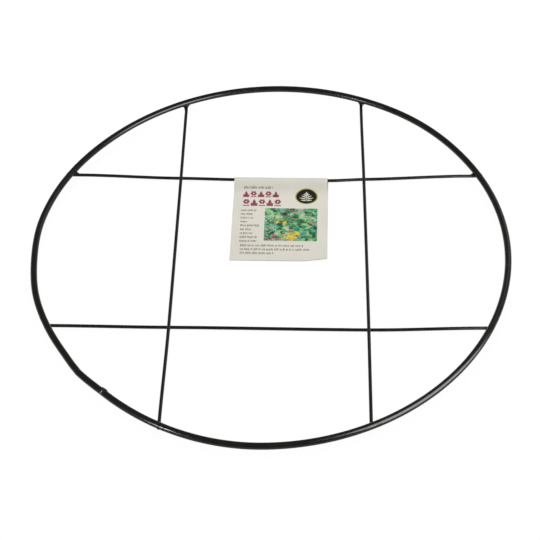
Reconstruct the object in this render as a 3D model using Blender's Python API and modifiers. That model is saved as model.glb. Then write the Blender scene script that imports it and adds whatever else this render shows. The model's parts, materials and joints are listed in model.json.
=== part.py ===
"""Plant support frame: a round wire hoop over a grid of four wires, with a card folded over one wire.

Metres, +Z up. The frame lies flat, +X is its right and +Y its back. The origin is on the ground, below
the hoop's centre. Angles are seen from above, anticlockwise from +X.
"""

from math import atan2, cos, pi, radians, sin

import bmesh
import bpy
from mathutils import Vector

# Steel: diameters over the coat, measured across the flats of the round bars
ROD = 0.0056
WIRE = 0.0028
SIDES = 12
GAP = 0.0003  # left between pieces that touch

# Hoop: its rod's centre line is a circle, a little longer on the diagonal from front left to back right
HOOP_RADIUS = 0.200
HOOP_OVAL = 0.0022
HOOP_STEPS = 116

# Hoop's closing: bending leaves the rod's last stretch straight, so the hoop has a flat with a corner
CORNER_ANGLE = radians(221.6)
CORNER_HEIGHT = 0.0015
CORNER_SPREAD = radians(7)
FLAT_DEPTH = 0.0056
FLAT_SPREAD = radians(49)
CORNER_TO_JOINT = radians(8.2)
CORNER_STEPS = 3
JOINT_GAP = 0.0020  # between the rod's two ends, filled by the weld

# Hoop's swells and dents: the middle of each, how far it spreads to either side, and how far out it stands
HOOP_DENTS = (
    (radians(50), radians(20), 0.0007),
    (radians(156), radians(22), 0.0006),
    (radians(183.5), radians(14), -0.0013),
)

# Grid: each wire's distance from the middle of the hoop
LEFT_X = -0.0805
RIGHT_X = 0.0815
FRONT_Y = -0.0800
BACK_Y = 0.0910

# How far each wire has strayed from its line: at the hoop, at its two crossings and at the hoop again
LEFT_STRAY = (-0.0009, 0.0002, -0.0001, -0.0005)
RIGHT_STRAY = (0.0006, 0.0005, -0.0006, -0.0016)
FRONT_STRAY = (-0.0003, 0.0011, -0.0003, -0.0001)
BACK_STRAY = (0.0007, 0.0000, -0.0006, 0.0010)
WIRE_STEPS = 6  # points between one station of a wire and the next
END_SHORT_OF_HOOP = 0.0011  # from a wire's cut end to the hoop's centre line over it
LONG_END_PAST_HOOP = 0.0006  # the left wire's front end, which shows below the hoop
BACK_ENDS_PAST_HOOP = 0.0012  # the back wire's two ends, which reach under the hoop

# Card: one sheet folded round the back wire, its two leaves lying to the front
CARD_X = 0.0082
CARD_WIDTH = 0.0828
CARD_LENGTH = 0.0935  # from the wire's axis to the free edge
CARD_SHEET = 0.0003
CARD_SLACK = 0.0004  # between the wire and the inside of the fold
LEAF_GAP = 0.0003
CARD_CLOSES = 0.016  # from the wire's axis to where the leaves meet
CARD_STEPS = 10  # strips across the card and along each leaf
CARD_FOLD_STEPS = 10
CARD_SINK = (0.0021, 0.0030)  # the back wire's bow to the front, at the card's left and right edges

# Curl of the card's front right corner
CURL_LIFT = 0.0038
CURL_WIDTH = 0.024
CURL_LENGTH = 0.030

# Weld beads: half sizes along the wire, across it and up
SADDLE = (0.0021, 0.0024, 0.0017)
SADDLE_IN = 0.0024  # from the hoop's centre line to the saddle's middle
CROSS = (0.0025, 0.0025, 0.0015)
JOINT_BEAD = (0.0047, 0.0035, 0.0031)
JOINT_BEAD_IN = 0.0008  # the joint's bead stands out on the hoop's inner side
BEAD_SEGMENTS = 16
BEAD_RINGS = 10
CUTTER_SIDES = 24
CUTTER_REACH = 0.008

# Heights of the bars' axes, built up from the ground
LOW = WIRE / 2
HIGH = LOW + WIRE + GAP
HOOP_HEIGHT = HIGH + WIRE / 2 + GAP + ROD / 2
FOLD_RADIUS = WIRE / 2 + CARD_SLACK + CARD_SHEET / 2
AT_CARD = FOLD_RADIUS + CARD_SHEET / 2
JOINT_ANGLE = CORNER_ANGLE + CORNER_TO_JOINT


def clear_scene():
    """Remove whatever the file already holds."""
    for thing in list(bpy.data.objects):
        bpy.data.objects.remove(thing, do_unlink=True)


def collection(name):
    """Make a collection in the scene."""
    made = bpy.data.collections.new(name)
    bpy.context.scene.collection.children.link(made)
    return made


def empty(name, place, group):
    """Make an empty that carries other objects."""
    carrier = bpy.data.objects.new(name, None)
    carrier.location = place
    carrier.empty_display_size = WIRE
    group.objects.link(carrier)
    return carrier


def finish(name, colour, roughness):
    """Principled material with no metal showing."""
    material = bpy.data.materials.new(name)
    material.use_nodes = True
    shader = material.node_tree.nodes["Principled BSDF"]
    shader.inputs["Base Color"].default_value = (*colour, 1.0)
    shader.inputs["Roughness"].default_value = roughness
    shader.inputs["Metallic"].default_value = 0.0
    return material


def spread(first, last, steps):
    """Even values from first to last, both included."""
    return [first + (last - first) * step / steps for step in range(steps + 1)]


def outer_radius(diameter):
    """Distance from a bar's axis to its facets' edges."""
    return diameter / 2 / cos(pi / SIDES)


def turn_from(angle, centre):
    """Signed turn from one direction to another, at most half a turn."""
    return (angle - centre + pi) % (2 * pi) - pi


def hoop_radius(angle):
    """Radius of the hoop's centre line in one direction."""
    off = turn_from(angle, CORNER_ANGLE)
    radius = HOOP_RADIUS + HOOP_OVAL * sin(2 * angle)
    if abs(off) < FLAT_SPREAD:
        radius -= FLAT_DEPTH * (1 + cos(pi * off / FLAT_SPREAD)) / 2
    if abs(off) < CORNER_SPREAD:
        radius += CORNER_HEIGHT * (1 - abs(off) / CORNER_SPREAD)
    for middle, reach, out in HOOP_DENTS:
        aside = turn_from(angle, middle)
        if abs(aside) < reach:
            radius += out * (1 + cos(pi * aside / reach)) / 2
    return radius


def hoop_point(angle):
    """Point on the hoop's centre line."""
    radius = hoop_radius(angle)
    return Vector((radius * cos(angle), radius * sin(angle), HOOP_HEIGHT))


def hoop_direction(angle):
    """Direction of the hoop's centre line, anticlockwise."""
    step = radians(0.5)
    return (hoop_point(angle + step) - hoop_point(angle - step)).normalized()


def hoop_path():
    """Centre line from one end of the rod round to the other, with a point on the corner."""
    half_gap = JOINT_GAP / 2 / hoop_radius(JOINT_ANGLE)
    corner = CORNER_ANGLE + 2 * pi
    round_run = spread(JOINT_ANGLE + half_gap, corner, HOOP_STEPS)
    closing_run = spread(corner, JOINT_ANGLE + 2 * pi - half_gap, CORNER_STEPS)
    return [hoop_point(angle) for angle in round_run + closing_run[1:]]


def run_at_hoop(offset, along_x, sign):
    """Distance along a wire, at its offset from the middle, to where it passes under the hoop."""
    run = HOOP_RADIUS
    for _ in range(20):
        angle = atan2(offset, sign * run) if along_x else atan2(sign * run, offset)
        run = (hoop_radius(angle) ** 2 - offset ** 2) ** 0.5
    return sign * run


def slopes(runs, values):
    """Slopes of a smooth curve through the stations, which never passes beyond a station's value."""
    chords = [(v1 - v0) / (r1 - r0) for r0, r1, v0, v1 in zip(runs, runs[1:], values, values[1:])]
    inner = [2 * a * b / (a + b) if a * b > 0 else 0.0 for a, b in zip(chords, chords[1:])]
    return [0.0, *inner, 0.0]


def between(index, share, runs, values):
    """Value of the smooth curve at a share of the way from one station to the next."""
    ends = slopes(runs, values)
    length = runs[index + 1] - runs[index]
    rise = share * share * (3 - 2 * share)
    leave = share * (1 - share) ** 2 * length * ends[index]
    arrive = share * share * (share - 1) * length * ends[index + 1]
    return values[index] + (values[index + 1] - values[index]) * rise + leave + arrive


class Wire:
    """One grid wire, given by stations: how far along, how far aside and how high its axis is.

    Args:
        along_x: True for a left-to-right wire, False for a front-to-back one.
        stations: (along, aside, height) at the hoop, at the crossings and at the hoop again.
        past: how far the first and the last end reach past the hoop's centre line, less than nothing where
            they stay short of it.
    """

    def __init__(self, along_x, stations, past):
        self.along_x = along_x
        self.stations = stations
        self.past = past

    def place(self, along, aside, height):
        """Turn a station into a point."""
        return Vector((along, aside, height)) if self.along_x else Vector((aside, along, height))

    def station(self, index):
        """Point of the axis at a station."""
        return self.place(*self.stations[index])

    def direction(self, index):
        """Direction of the axis at a station."""
        runs, asides, heights = zip(*self.stations)
        return self.place(1.0, slopes(runs, asides)[index], slopes(runs, heights)[index]).normalized()

    def path(self):
        """Points along the axis, from one cut end to the other."""
        runs, asides, heights = zip(*self.stations)
        points = []
        for index in range(len(runs) - 1):
            for share in spread(0.0, 1.0, WIRE_STEPS)[:-1]:
                run = runs[index] + (runs[index + 1] - runs[index]) * share
                aside = between(index, share, runs, asides)
                points.append(self.place(run, aside, between(index, share, runs, heights)))
        points[0] = self.place(runs[0] - self.past[0], asides[0], heights[0])
        points.append(self.place(runs[-1] + self.past[1], asides[-1], heights[-1]))
        return points


def grid_wires():
    """The four wires, by name: each passes through the crossings that it shares."""
    left = [LEFT_X + stray for stray in LEFT_STRAY]
    right = [RIGHT_X + stray for stray in RIGHT_STRAY]
    front = [FRONT_Y + stray for stray in FRONT_STRAY]
    back = [BACK_Y + stray for stray in BACK_STRAY]
    wires = {}
    for name, line, rank, past in (
        ("left", left, 1, (LONG_END_PAST_HOOP, -END_SHORT_OF_HOOP)),
        ("right", right, 2, (-END_SHORT_OF_HOOP, -END_SHORT_OF_HOOP)),
    ):
        runs = (run_at_hoop(line[0], False, -1), front[rank], back[rank], run_at_hoop(line[3], False, 1))
        wires[name] = Wire(False, [(run, aside, HIGH) for run, aside in zip(runs, line)], past)
    for name, line, rank, past in (
        ("front", front, 1, -END_SHORT_OF_HOOP),
        ("back", back, 2, BACK_ENDS_PAST_HOOP),
    ):
        runs = (run_at_hoop(line[0], True, -1), left[rank], right[rank], run_at_hoop(line[3], True, 1))
        heights = (HIGH, LOW, LOW, HIGH)
        wires[name] = Wire(True, list(zip(runs, line, heights)), (past, past))
    card_edges = [(run, BACK_Y - sink, AT_CARD) for run, sink in zip(card_span(), CARD_SINK)]
    wires["back"].stations[2:2] = card_edges
    return wires


def card_span():
    """Where the card's left and right edges are along the back wire."""
    return CARD_X - CARD_WIDTH / 2, CARD_X + CARD_WIDTH / 2


def bar(name, points, diameter, material, parent, group):
    """Round bar with flat ends along a path, one of its facets facing straight down."""
    curve = bpy.data.curves.new(name, "CURVE")
    curve.dimensions = "3D"
    curve.twist_mode = "Z_UP"
    curve.bevel_depth = outer_radius(diameter)
    curve.bevel_resolution = SIDES // 2 - 2
    curve.use_fill_caps = True
    spline = curve.splines.new("POLY")
    spline.points.add(len(points) - 1)
    for knot, point in zip(spline.points, points):
        knot.co = (*point, 1.0)
        knot.tilt = pi / SIDES
    spline.use_smooth = True
    curve.materials.append(material)
    made = bpy.data.objects.new(name, curve)
    made.parent = parent
    group.objects.link(made)
    return made


def cutter(name, middle, direction, length, diameter, group):
    """Round bar that clears a groove for a rod or wire in a bead."""
    mesh = bpy.data.meshes.new(name)
    work = bmesh.new()
    radius = outer_radius(diameter) + GAP
    bmesh.ops.create_cone(
        work, cap_ends=True, segments=CUTTER_SIDES, radius1=radius, radius2=radius, depth=length
    )
    work.to_mesh(mesh)
    work.free()
    made = bpy.data.objects.new(name, mesh)
    made.location = middle
    made.rotation_mode = "QUATERNION"
    made.rotation_quaternion = direction.to_track_quat("Z", "Y")
    made.display_type = "WIRE"
    made.hide_render = True
    group.objects.link(made)
    return made


def bead(name, middle, direction, half_sizes, cutters, material, parent, group):
    """Weld bead: an ellipsoid lying along a direction, with grooves for what it joins.

    Args:
        name: the object's name.
        middle: the ellipsoid's centre.
        direction: the way its first half size lies.
        half_sizes: its half sizes along, across and up.
        cutters: the bars that clear its grooves.
        material: its finish.
        parent: the empty that carries it.
        group: the collection it goes in.
    """
    mesh = bpy.data.meshes.new(name)
    work = bmesh.new()
    bmesh.ops.create_uvsphere(work, u_segments=BEAD_SEGMENTS, v_segments=BEAD_RINGS, radius=1.0)
    bmesh.ops.scale(work, vec=half_sizes, verts=work.verts)
    work.to_mesh(mesh)
    work.free()
    mesh.shade_smooth()
    mesh.set_sharp_from_angle(angle=radians(40))
    mesh.materials.append(material)
    made = bpy.data.objects.new(name, mesh)
    made.location = middle
    made.rotation_euler = (0.0, 0.0, atan2(direction.y, direction.x))
    made.parent = parent
    group.objects.link(made)
    for tool in cutters:
        cut = made.modifiers.new(tool.name, "BOOLEAN")
        cut.operation = "DIFFERENCE"
        cut.object = tool
    return made


def add_saddles(wires, material, parent, group, tools):
    """Beads that join each wire's two ends to the hoop, on the hoop's inner side."""
    ends = {"left": ("front", "back"), "right": ("front", "back"), "front": ("left", "right")}
    ends["back"] = ends["front"]
    for wire_name, wire in wires.items():
        for end_name, index, inward in zip(ends[wire_name], (0, -1), (1, -1)):
            name = f"weld_{wire_name}_{end_name}"
            seat = wire.station(index)
            along = wire.direction(index) * inward
            rod_way = hoop_direction(atan2(seat.y, seat.x))
            rod_seat = Vector((seat.x, seat.y, HOOP_HEIGHT))
            grooves = [
                cutter(f"{name}_rod_groove", rod_seat, rod_way, 2 * CUTTER_REACH, ROD, tools),
                cutter(f"{name}_wire_groove", seat, along, 2 * CUTTER_REACH, WIRE, tools),
            ]
            top = HIGH + WIRE / 2 + GAP / 2
            middle = Vector((seat.x, seat.y, top)) + along * SADDLE_IN
            bead(name, middle, along, SADDLE, grooves, material, parent, group)


def add_cross_beads(wires, material, parent, group, tools):
    """Beads where a front-to-back wire lies on a left-to-right one."""
    for row_name in ("front", "back"):
        row = wires[row_name]
        for column_name, index in (("left", 1), ("right", -2)):
            column = wires[column_name]
            upper_index = 1 if row_name == "front" else 2
            name = f"weld_cross_{row_name}_{column_name}"
            lower = row.station(index)
            upper = column.station(upper_index)
            row_way = row.direction(index)
            column_way = column.direction(upper_index)
            grooves = [
                cutter(f"{name}_row_groove", lower, row_way, 2 * CUTTER_REACH, WIRE, tools),
                cutter(f"{name}_column_groove", upper, column_way, 2 * CUTTER_REACH, WIRE, tools),
            ]
            bead(name, (lower + upper) / 2, row_way, CROSS, grooves, material, parent, group)


def add_joint_bead(material, parent, group, tools):
    """Bead that closes the hoop: it fills the gap between the rod's ends and swells on the inner side."""
    joint = hoop_point(JOINT_ANGLE)
    inward = Vector((-cos(JOINT_ANGLE), -sin(JOINT_ANGLE), 0.0))
    along = hoop_direction(JOINT_ANGLE)
    grooves = []
    for side_name, way in (("after", 1), ("before", -1)):
        start = joint + along * way * (JOINT_GAP / 2 - GAP)
        far = hoop_point(JOINT_ANGLE + way * CUTTER_REACH / HOOP_RADIUS)
        name = f"joint_groove_{side_name}"
        grooves.append(cutter(name, (start + far) / 2, far - start, (far - start).length, ROD, tools))
    middle = joint + inward * JOINT_BEAD_IN
    bead("weld_hoop_joint", middle, along, JOINT_BEAD, grooves, material, parent, group)


def card_section():
    """Middle line of the folded sheet, front edge of the upper leaf to front edge of the lower one.

    Each point is (forward, up) from the wire's axis.
    """
    lower = -FOLD_RADIUS
    upper = lower + CARD_SHEET + LEAF_GAP
    flat = [(forward, upper) for forward in spread(CARD_LENGTH, CARD_CLOSES, CARD_STEPS)]
    closing = []
    for forward in spread(CARD_CLOSES, 0.0, CARD_STEPS)[1:]:
        share = (1 + cos(pi * forward / CARD_CLOSES)) / 2
        closing.append((forward, upper + (FOLD_RADIUS - upper) * share))
    fold = []
    for angle in spread(0.0, pi, CARD_FOLD_STEPS)[1:]:
        fold.append((-FOLD_RADIUS * sin(angle), FOLD_RADIUS * cos(angle)))
    under = [(forward, lower) for forward in spread(0.0, CARD_LENGTH, 2 * CARD_STEPS)[1:]]
    return flat + closing + fold + under


def curl(across, forward):
    """How far the card's front right corner curls up, at a point of a leaf."""
    share = 1 - (CARD_WIDTH / 2 - across) / CURL_WIDTH - (CARD_LENGTH - forward) / CURL_LENGTH
    return CURL_LIFT * max(share, 0.0) ** 1.5


def add_card(pivot, material, group):
    """Card: a strip that follows the folded section, given the sheet's thickness."""
    mesh = bpy.data.meshes.new("card")
    work = bmesh.new()
    section = card_section()
    rows = []
    for across in spread(-CARD_WIDTH / 2, CARD_WIDTH / 2, CARD_STEPS):
        row = [work.verts.new((across, -ahead, up + curl(across, ahead))) for ahead, up in section]
        rows.append(row)
    for row, next_row in zip(rows, rows[1:]):
        for near, far in zip(range(len(section) - 1), range(1, len(section))):
            work.faces.new((row[near], next_row[near], next_row[far], row[far]))
    work.to_mesh(mesh)
    work.free()
    mesh.shade_smooth()
    mesh.set_sharp_from_angle(angle=radians(40))
    mesh.materials.append(material)
    card = bpy.data.objects.new("card", mesh)
    card.parent = pivot
    group.objects.link(card)
    sheet = card.modifiers.new("sheet", "SOLIDIFY")
    sheet.thickness = CARD_SHEET
    sheet.offset = 0.0
    sheet.use_even_offset = True


def card_pivot(back_wire, group):
    """Empty on the back wire's axis in the middle of the card, turned along the wire there."""
    left = back_wire.station(2)
    right = back_wire.station(3)
    pivot = empty("card_pivot", (left + right) / 2, group)
    pivot.rotation_euler = (0.0, 0.0, atan2(right.y - left.y, right.x - left.x))
    return pivot


def build():
    """Make the whole frame."""
    clear_scene()
    parts = collection("plant_support_frame")
    tools = collection("cutters")
    coat = finish("black_coat", (0.018, 0.018, 0.017), 0.42)
    bead_coat = finish("coated_weld", (0.024, 0.024, 0.023), 0.50)
    paper = finish("printed_card", (0.66, 0.63, 0.56), 0.85)
    frame = empty("frame", (0.0, 0.0, 0.0), parts)
    wires = grid_wires()
    bar("hoop", hoop_path(), ROD, coat, frame, parts)
    for name, wire in wires.items():
        bar(f"wire_{name}", wire.path(), WIRE, coat, frame, parts)
    add_saddles(wires, bead_coat, frame, parts, tools)
    add_cross_beads(wires, bead_coat, frame, parts, tools)
    add_joint_bead(bead_coat, frame, parts, tools)
    pivot = card_pivot(wires["back"], parts)
    pivot.parent = frame
    add_card(pivot, paper, parts)


build()
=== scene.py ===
"""Looks of a plant support frame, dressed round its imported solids.

A round hoop of black coated rod lies on a grid of four thinner wires, welded to it and to each other. A
printed card is folded over the back wire. Metres, +Z up, +X to the right and +Y to the back, with the
origin on the ground below the hoop's middle.
"""

import json
import logging
import random
from collections.abc import Iterable, Sequence
from dataclasses import dataclass, field
from enum import Enum
from math import atan2, cos, pi, radians, sin

import bmesh
import bpy
import numpy as np
from mathutils import Matrix, Vector, noise

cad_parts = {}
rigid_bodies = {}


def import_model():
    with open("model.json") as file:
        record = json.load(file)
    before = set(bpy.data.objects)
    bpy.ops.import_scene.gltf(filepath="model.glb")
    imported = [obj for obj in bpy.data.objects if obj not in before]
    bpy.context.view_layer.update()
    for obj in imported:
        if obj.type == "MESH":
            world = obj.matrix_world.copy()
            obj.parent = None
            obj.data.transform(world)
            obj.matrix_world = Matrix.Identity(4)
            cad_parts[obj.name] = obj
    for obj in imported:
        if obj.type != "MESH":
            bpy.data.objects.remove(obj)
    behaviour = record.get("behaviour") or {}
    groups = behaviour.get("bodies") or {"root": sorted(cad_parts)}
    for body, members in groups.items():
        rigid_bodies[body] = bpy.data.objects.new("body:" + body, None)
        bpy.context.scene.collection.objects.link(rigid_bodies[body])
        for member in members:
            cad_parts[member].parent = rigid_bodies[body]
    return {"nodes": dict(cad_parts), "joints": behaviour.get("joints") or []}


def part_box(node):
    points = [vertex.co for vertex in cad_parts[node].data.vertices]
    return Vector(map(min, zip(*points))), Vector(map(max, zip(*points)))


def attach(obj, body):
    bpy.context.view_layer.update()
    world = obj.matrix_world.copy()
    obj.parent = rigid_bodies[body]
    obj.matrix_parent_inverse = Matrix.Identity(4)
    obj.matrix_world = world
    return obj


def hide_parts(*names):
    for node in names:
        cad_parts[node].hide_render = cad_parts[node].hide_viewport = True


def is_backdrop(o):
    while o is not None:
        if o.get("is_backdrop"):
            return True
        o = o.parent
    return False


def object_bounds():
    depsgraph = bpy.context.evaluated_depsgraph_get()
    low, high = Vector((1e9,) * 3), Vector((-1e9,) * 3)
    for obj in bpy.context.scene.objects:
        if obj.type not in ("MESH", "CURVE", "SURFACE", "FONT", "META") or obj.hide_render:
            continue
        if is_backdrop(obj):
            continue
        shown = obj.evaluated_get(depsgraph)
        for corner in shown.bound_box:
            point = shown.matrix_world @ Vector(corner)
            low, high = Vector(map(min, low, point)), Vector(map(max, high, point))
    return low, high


for leftover in list(bpy.data.objects):
    bpy.data.objects.remove(leftover, do_unlink=True)
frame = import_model()
CAD_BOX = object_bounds()

log = logging.getLogger("plant_support_frame")

MM = 0.001
TURN = 2 * pi
UP = Vector((0.0, 0.0, 1.0))
WHITE = (1.0, 1.0, 1.0, 1.0)

# The hinge that the card turns on
HINGE = frame["joints"][0]

# Noise keeps to this range for the most part
NOISE_SPAN = (0.3, 0.7)

# A solid's corners that are closer than this along a bar, or round the hoop, stand in one ring
RING_RUN = 0.3 * MM
RING_TURN = radians(0.25)

# What a node's input takes: another node's output, or a plain value
Feed = bpy.types.NodeSocket | float | tuple[float, ...]
Colour = tuple[float, float, float]
Sizes = tuple[float, float, float]
Spot = tuple[float, float]
Edges = tuple[float, float, float, float]


class Body(Enum):
    """The bodies that a piece can ride on."""

    FRAME = "frame"
    CARD = "card"


class Slot(Enum):
    """The record's finishes."""

    COAT = "coat"
    WELD = "weld_coat"
    CARD = "printed_card"


class Lie(Enum):
    """How a bar lies, by the coordinate that grows along it."""

    LEFT_TO_RIGHT = "x"
    FRONT_TO_BACK = "y"
    ROUND = "angle"


class Shows(Enum):
    """What a studio lamp does: it shades matt surfaces, or it only shows as a gleam on the coat."""

    SHADE = "shade"
    GLEAM = "gleam"


@dataclass(frozen=True)
class Place:
    """Where a piece belongs.

    Args:
        body: the body that it rides on.
        slot: the finish that it takes; not used.
        stands_for: the solid nodes that it is shown in place of.
    """

    body: Body
    slot: Slot
    stands_for: tuple[str, ...] = ()


def settle(name: str, mesh: bpy.types.Mesh, material: bpy.types.Material, place: Place) -> bpy.types.Object:
    """Put a finished mesh in the scene as a piece of the frame.

    Args:
        name: the piece's name.
        mesh: its shape, in the row's own coordinates.
        material: its finish.
        place: its body, slot and the nodes that it stands for.

    Returns:
        The piece.
    """
    mesh.materials.clear()
    mesh.materials.append(material)
    piece = bpy.data.objects.new(name, mesh)
    bpy.context.scene.collection.objects.link(piece)
    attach(piece, place.body.value)
    if place.stands_for:
        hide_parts(*place.stands_for)
    log.info("%s: %d faces on %s", name, len(mesh.polygons), place.body.value)
    return piece


def mesh_from(name: str, work: bmesh.types.BMesh, smooth: bool = True) -> bpy.types.Mesh:
    """Turn an edit mesh into a mesh, with its faces pointing out.

    Args:
        name: the mesh's name.
        work: the edit mesh, which is freed.
        smooth: whether it is shaded smooth.

    Returns:
        The mesh.
    """
    bmesh.ops.recalc_face_normals(work, faces=work.faces)
    mesh = bpy.data.meshes.new(name)
    work.to_mesh(mesh)
    work.free()
    if smooth:
        mesh.shade_smooth()
    return mesh


def close_round(work: bmesh.types.BMesh, rings: Sequence[Sequence[bmesh.types.BMVert]]) -> None:
    """Join rings of corners with faces, all the way round.

    Args:
        work: the edit mesh.
        rings: rings of as many corners each, in order.
    """
    for ring, following in zip(rings, rings[1:]):
        for index in range(len(ring)):
            after = (index + 1) % len(ring)
            work.faces.new((ring[index], ring[after], following[after], following[index]))


class Workpiece:
    """Rough shape that modifiers work on, in the scene only while they do."""

    def __init__(self, name: str, work: bmesh.types.BMesh) -> None:
        """Put the rough shape in the scene.

        Args:
            name: the finished mesh's name.
            work: the rough shape, which is freed.
        """
        self.name = name
        self.rough = bpy.data.objects.new(f"{name}_rough", mesh_from(f"{name}_rough", work))
        bpy.context.scene.collection.objects.link(self.rough)

    def put_on(self, kind: str, **settings: str | float | bool) -> None:
        """Put a modifier on it.

        Args:
            kind: the modifier's type name.
            settings: properties to set on it.
        """
        modifier = self.rough.modifiers.new(kind, kind)
        for key, value in settings.items():
            setattr(modifier, key, value)

    def finished(self) -> bpy.types.Mesh:
        """Take the worked mesh off and the rough shape out of the scene.

        Returns:
            The mesh.
        """
        depsgraph = bpy.context.evaluated_depsgraph_get()
        mesh = bpy.data.meshes.new_from_object(self.rough.evaluated_get(depsgraph))
        mesh.name = self.name
        bpy.data.objects.remove(self.rough, do_unlink=True)
        return mesh


class NodeBench:
    """Adds and joins the nodes of one material."""

    # A mix node has sockets for each kind of value, and these are its first, second and mixed colour
    FIRST_COLOUR, SECOND_COLOUR, MIXED_COLOUR = 6, 7, 2

    def __init__(self, name: str) -> None:
        """Start a material with only a surface shader and an output.

        Args:
            name: the material's name.
        """
        self.material = bpy.data.materials.new(name)
        self.material.use_nodes = True
        self.tree = self.material.node_tree
        self.shader = self.tree.nodes["Principled BSDF"]
        self.output = self.tree.nodes["Material Output"]

    def add(self, kind: str, **settings: str) -> bpy.types.Node:
        """Add a node.

        Args:
            kind: the node's type name.
            settings: properties to set on it.

        Returns:
            The node.
        """
        made = self.tree.nodes.new(kind)
        for key, value in settings.items():
            setattr(made, key, value)
        return made

    def feed(self, socket: bpy.types.NodeSocket, value: Feed) -> None:
        """Join an output to an input, or set the input to a plain value.

        Args:
            socket: the input.
            value: the output or the plain value.
        """
        if isinstance(value, bpy.types.NodeSocket):
            self.tree.links.new(value, socket)
        elif socket.type == "RGBA":
            socket.default_value = (*value, 1.0)
        else:
            socket.default_value = value

    def math(self, operation: str, first: Feed, second: Feed) -> bpy.types.NodeSocket:
        """Do one sum.

        Args:
            operation: the sum's name.
            first: its first term, an output or a number.
            second: its second term.

        Returns:
            The result.
        """
        made = self.add("ShaderNodeMath", operation=operation)
        self.feed(made.inputs[0], first)
        self.feed(made.inputs[1], second)
        return made.outputs[0]

    def vector_math(self, operation: str, first: Feed, second: Feed) -> bpy.types.NodeSocket:
        """Do one sum on vectors.

        Args:
            operation: the sum's name.
            first: its first term, an output or three numbers.
            second: its second term.

        Returns:
            The result as a vector.
        """
        made = self.add("ShaderNodeVectorMath", operation=operation)
        self.feed(made.inputs[0], first)
        self.feed(made.inputs[1], second)
        return made.outputs[0]

    def mix(self, share: Feed, first: Feed, second: Feed) -> bpy.types.NodeSocket:
        """Mix two colours.

        Args:
            share: how much of the second colour.
            first: the first colour.
            second: the second colour.

        Returns:
            The mixed colour.
        """
        made = self.add("ShaderNodeMix", data_type="RGBA")
        self.feed(made.inputs["Factor"], share)
        self.feed(made.inputs[self.FIRST_COLOUR], first)
        self.feed(made.inputs[self.SECOND_COLOUR], second)
        return made.outputs[self.MIXED_COLOUR]

    def span(self, value: Feed, low: float, high: float, first: float, last: float) -> bpy.types.NodeSocket:
        """Stretch a value from one range to another, clamped at its ends.

        Args:
            value: the value.
            low: the low end of its range.
            high: the high end of its range.
            first: what the low end becomes.
            last: what the high end becomes.

        Returns:
            The new value.
        """
        made = self.add("ShaderNodeMapRange")
        for socket, given in zip(made.inputs, (value, low, high, first, last)):
            self.feed(socket, given)
        return made.outputs[0]

    def choose(self, value: Feed, colours: Sequence[Colour]) -> bpy.types.NodeSocket:
        """Pick one of several colours in equal steps of a value.

        Args:
            value: the value, from 0 to 1.
            colours: the colours to pick from.

        Returns:
            The picked colour.
        """
        made = self.add("ShaderNodeValToRGB")
        made.color_ramp.interpolation = "CONSTANT"
        stops = made.color_ramp.elements
        while len(stops) < len(colours):
            stops.new(1.0)
        for index, colour in enumerate(colours):
            stops[index].position = index / len(colours)
            stops[index].color = (*colour, 1.0)
        self.feed(made.inputs[0], value)
        return made.outputs[0]

    def here(self) -> bpy.types.NodeSocket:
        """The point on the piece, in its own coordinates."""
        return self.add("ShaderNodeTexCoord").outputs["Object"]

    def clouds(self, where: Feed, scale: float, detail: float = 2.0) -> bpy.types.NodeSocket:
        """Soft noise from 0 to 1.

        Args:
            where: the point.
            scale: how many patches to a metre, or to one unit of the point.
            detail: how many finer layers it has.

        Returns:
            The noise.
        """
        made = self.add("ShaderNodeTexNoise")
        self.feed(made.inputs["Vector"], where)
        self.feed(made.inputs["Scale"], scale)
        self.feed(made.inputs["Detail"], detail)
        return made.outputs[0]

    def cells(self, where: Feed, scale: float, scatter: float = 1.0, flat: bool = False) -> bpy.types.Node:
        """Scattered cells, each with its middle and a colour of its own.

        Args:
            where: the point.
            scale: how many cells to a metre, or to one unit of the point.
            scatter: how far the cells stray from rows, from 0 to 1.
            flat: whether only x and y count.

        Returns:
            The node, for its outputs.
        """
        made = self.add("ShaderNodeTexVoronoi", voronoi_dimensions="2D" if flat else "3D")
        self.feed(made.inputs["Vector"], where)
        self.feed(made.inputs["Scale"], scale)
        self.feed(made.inputs["Randomness"], scatter)
        return made

    def surface(self, colour: Feed, roughness: Feed, specular: float) -> None:
        """Set the shader's colour and how it reflects.

        Args:
            colour: its base colour.
            roughness: how rough it is.
            specular: how strongly it reflects.
        """
        self.feed(self.shader.inputs["Base Color"], colour)
        self.feed(self.shader.inputs["Roughness"], roughness)
        self.feed(self.shader.inputs["Specular IOR Level"], specular)

    def relief(self, *layers: tuple[Feed, float]) -> None:
        """Give the shader a fine relief.

        Args:
            layers: pairs of a height from 0 to 1 and what 1 is in metres.
        """
        normal: bpy.types.NodeSocket | None = None
        for height, distance in layers:
            bump = self.add("ShaderNodeBump")
            bump.inputs["Distance"].default_value = distance
            self.feed(bump.inputs["Height"], height)
            if normal is not None:
                self.feed(bump.inputs["Normal"], normal)
            normal = bump.outputs[0]
        self.feed(self.shader.inputs["Normal"], normal)


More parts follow.
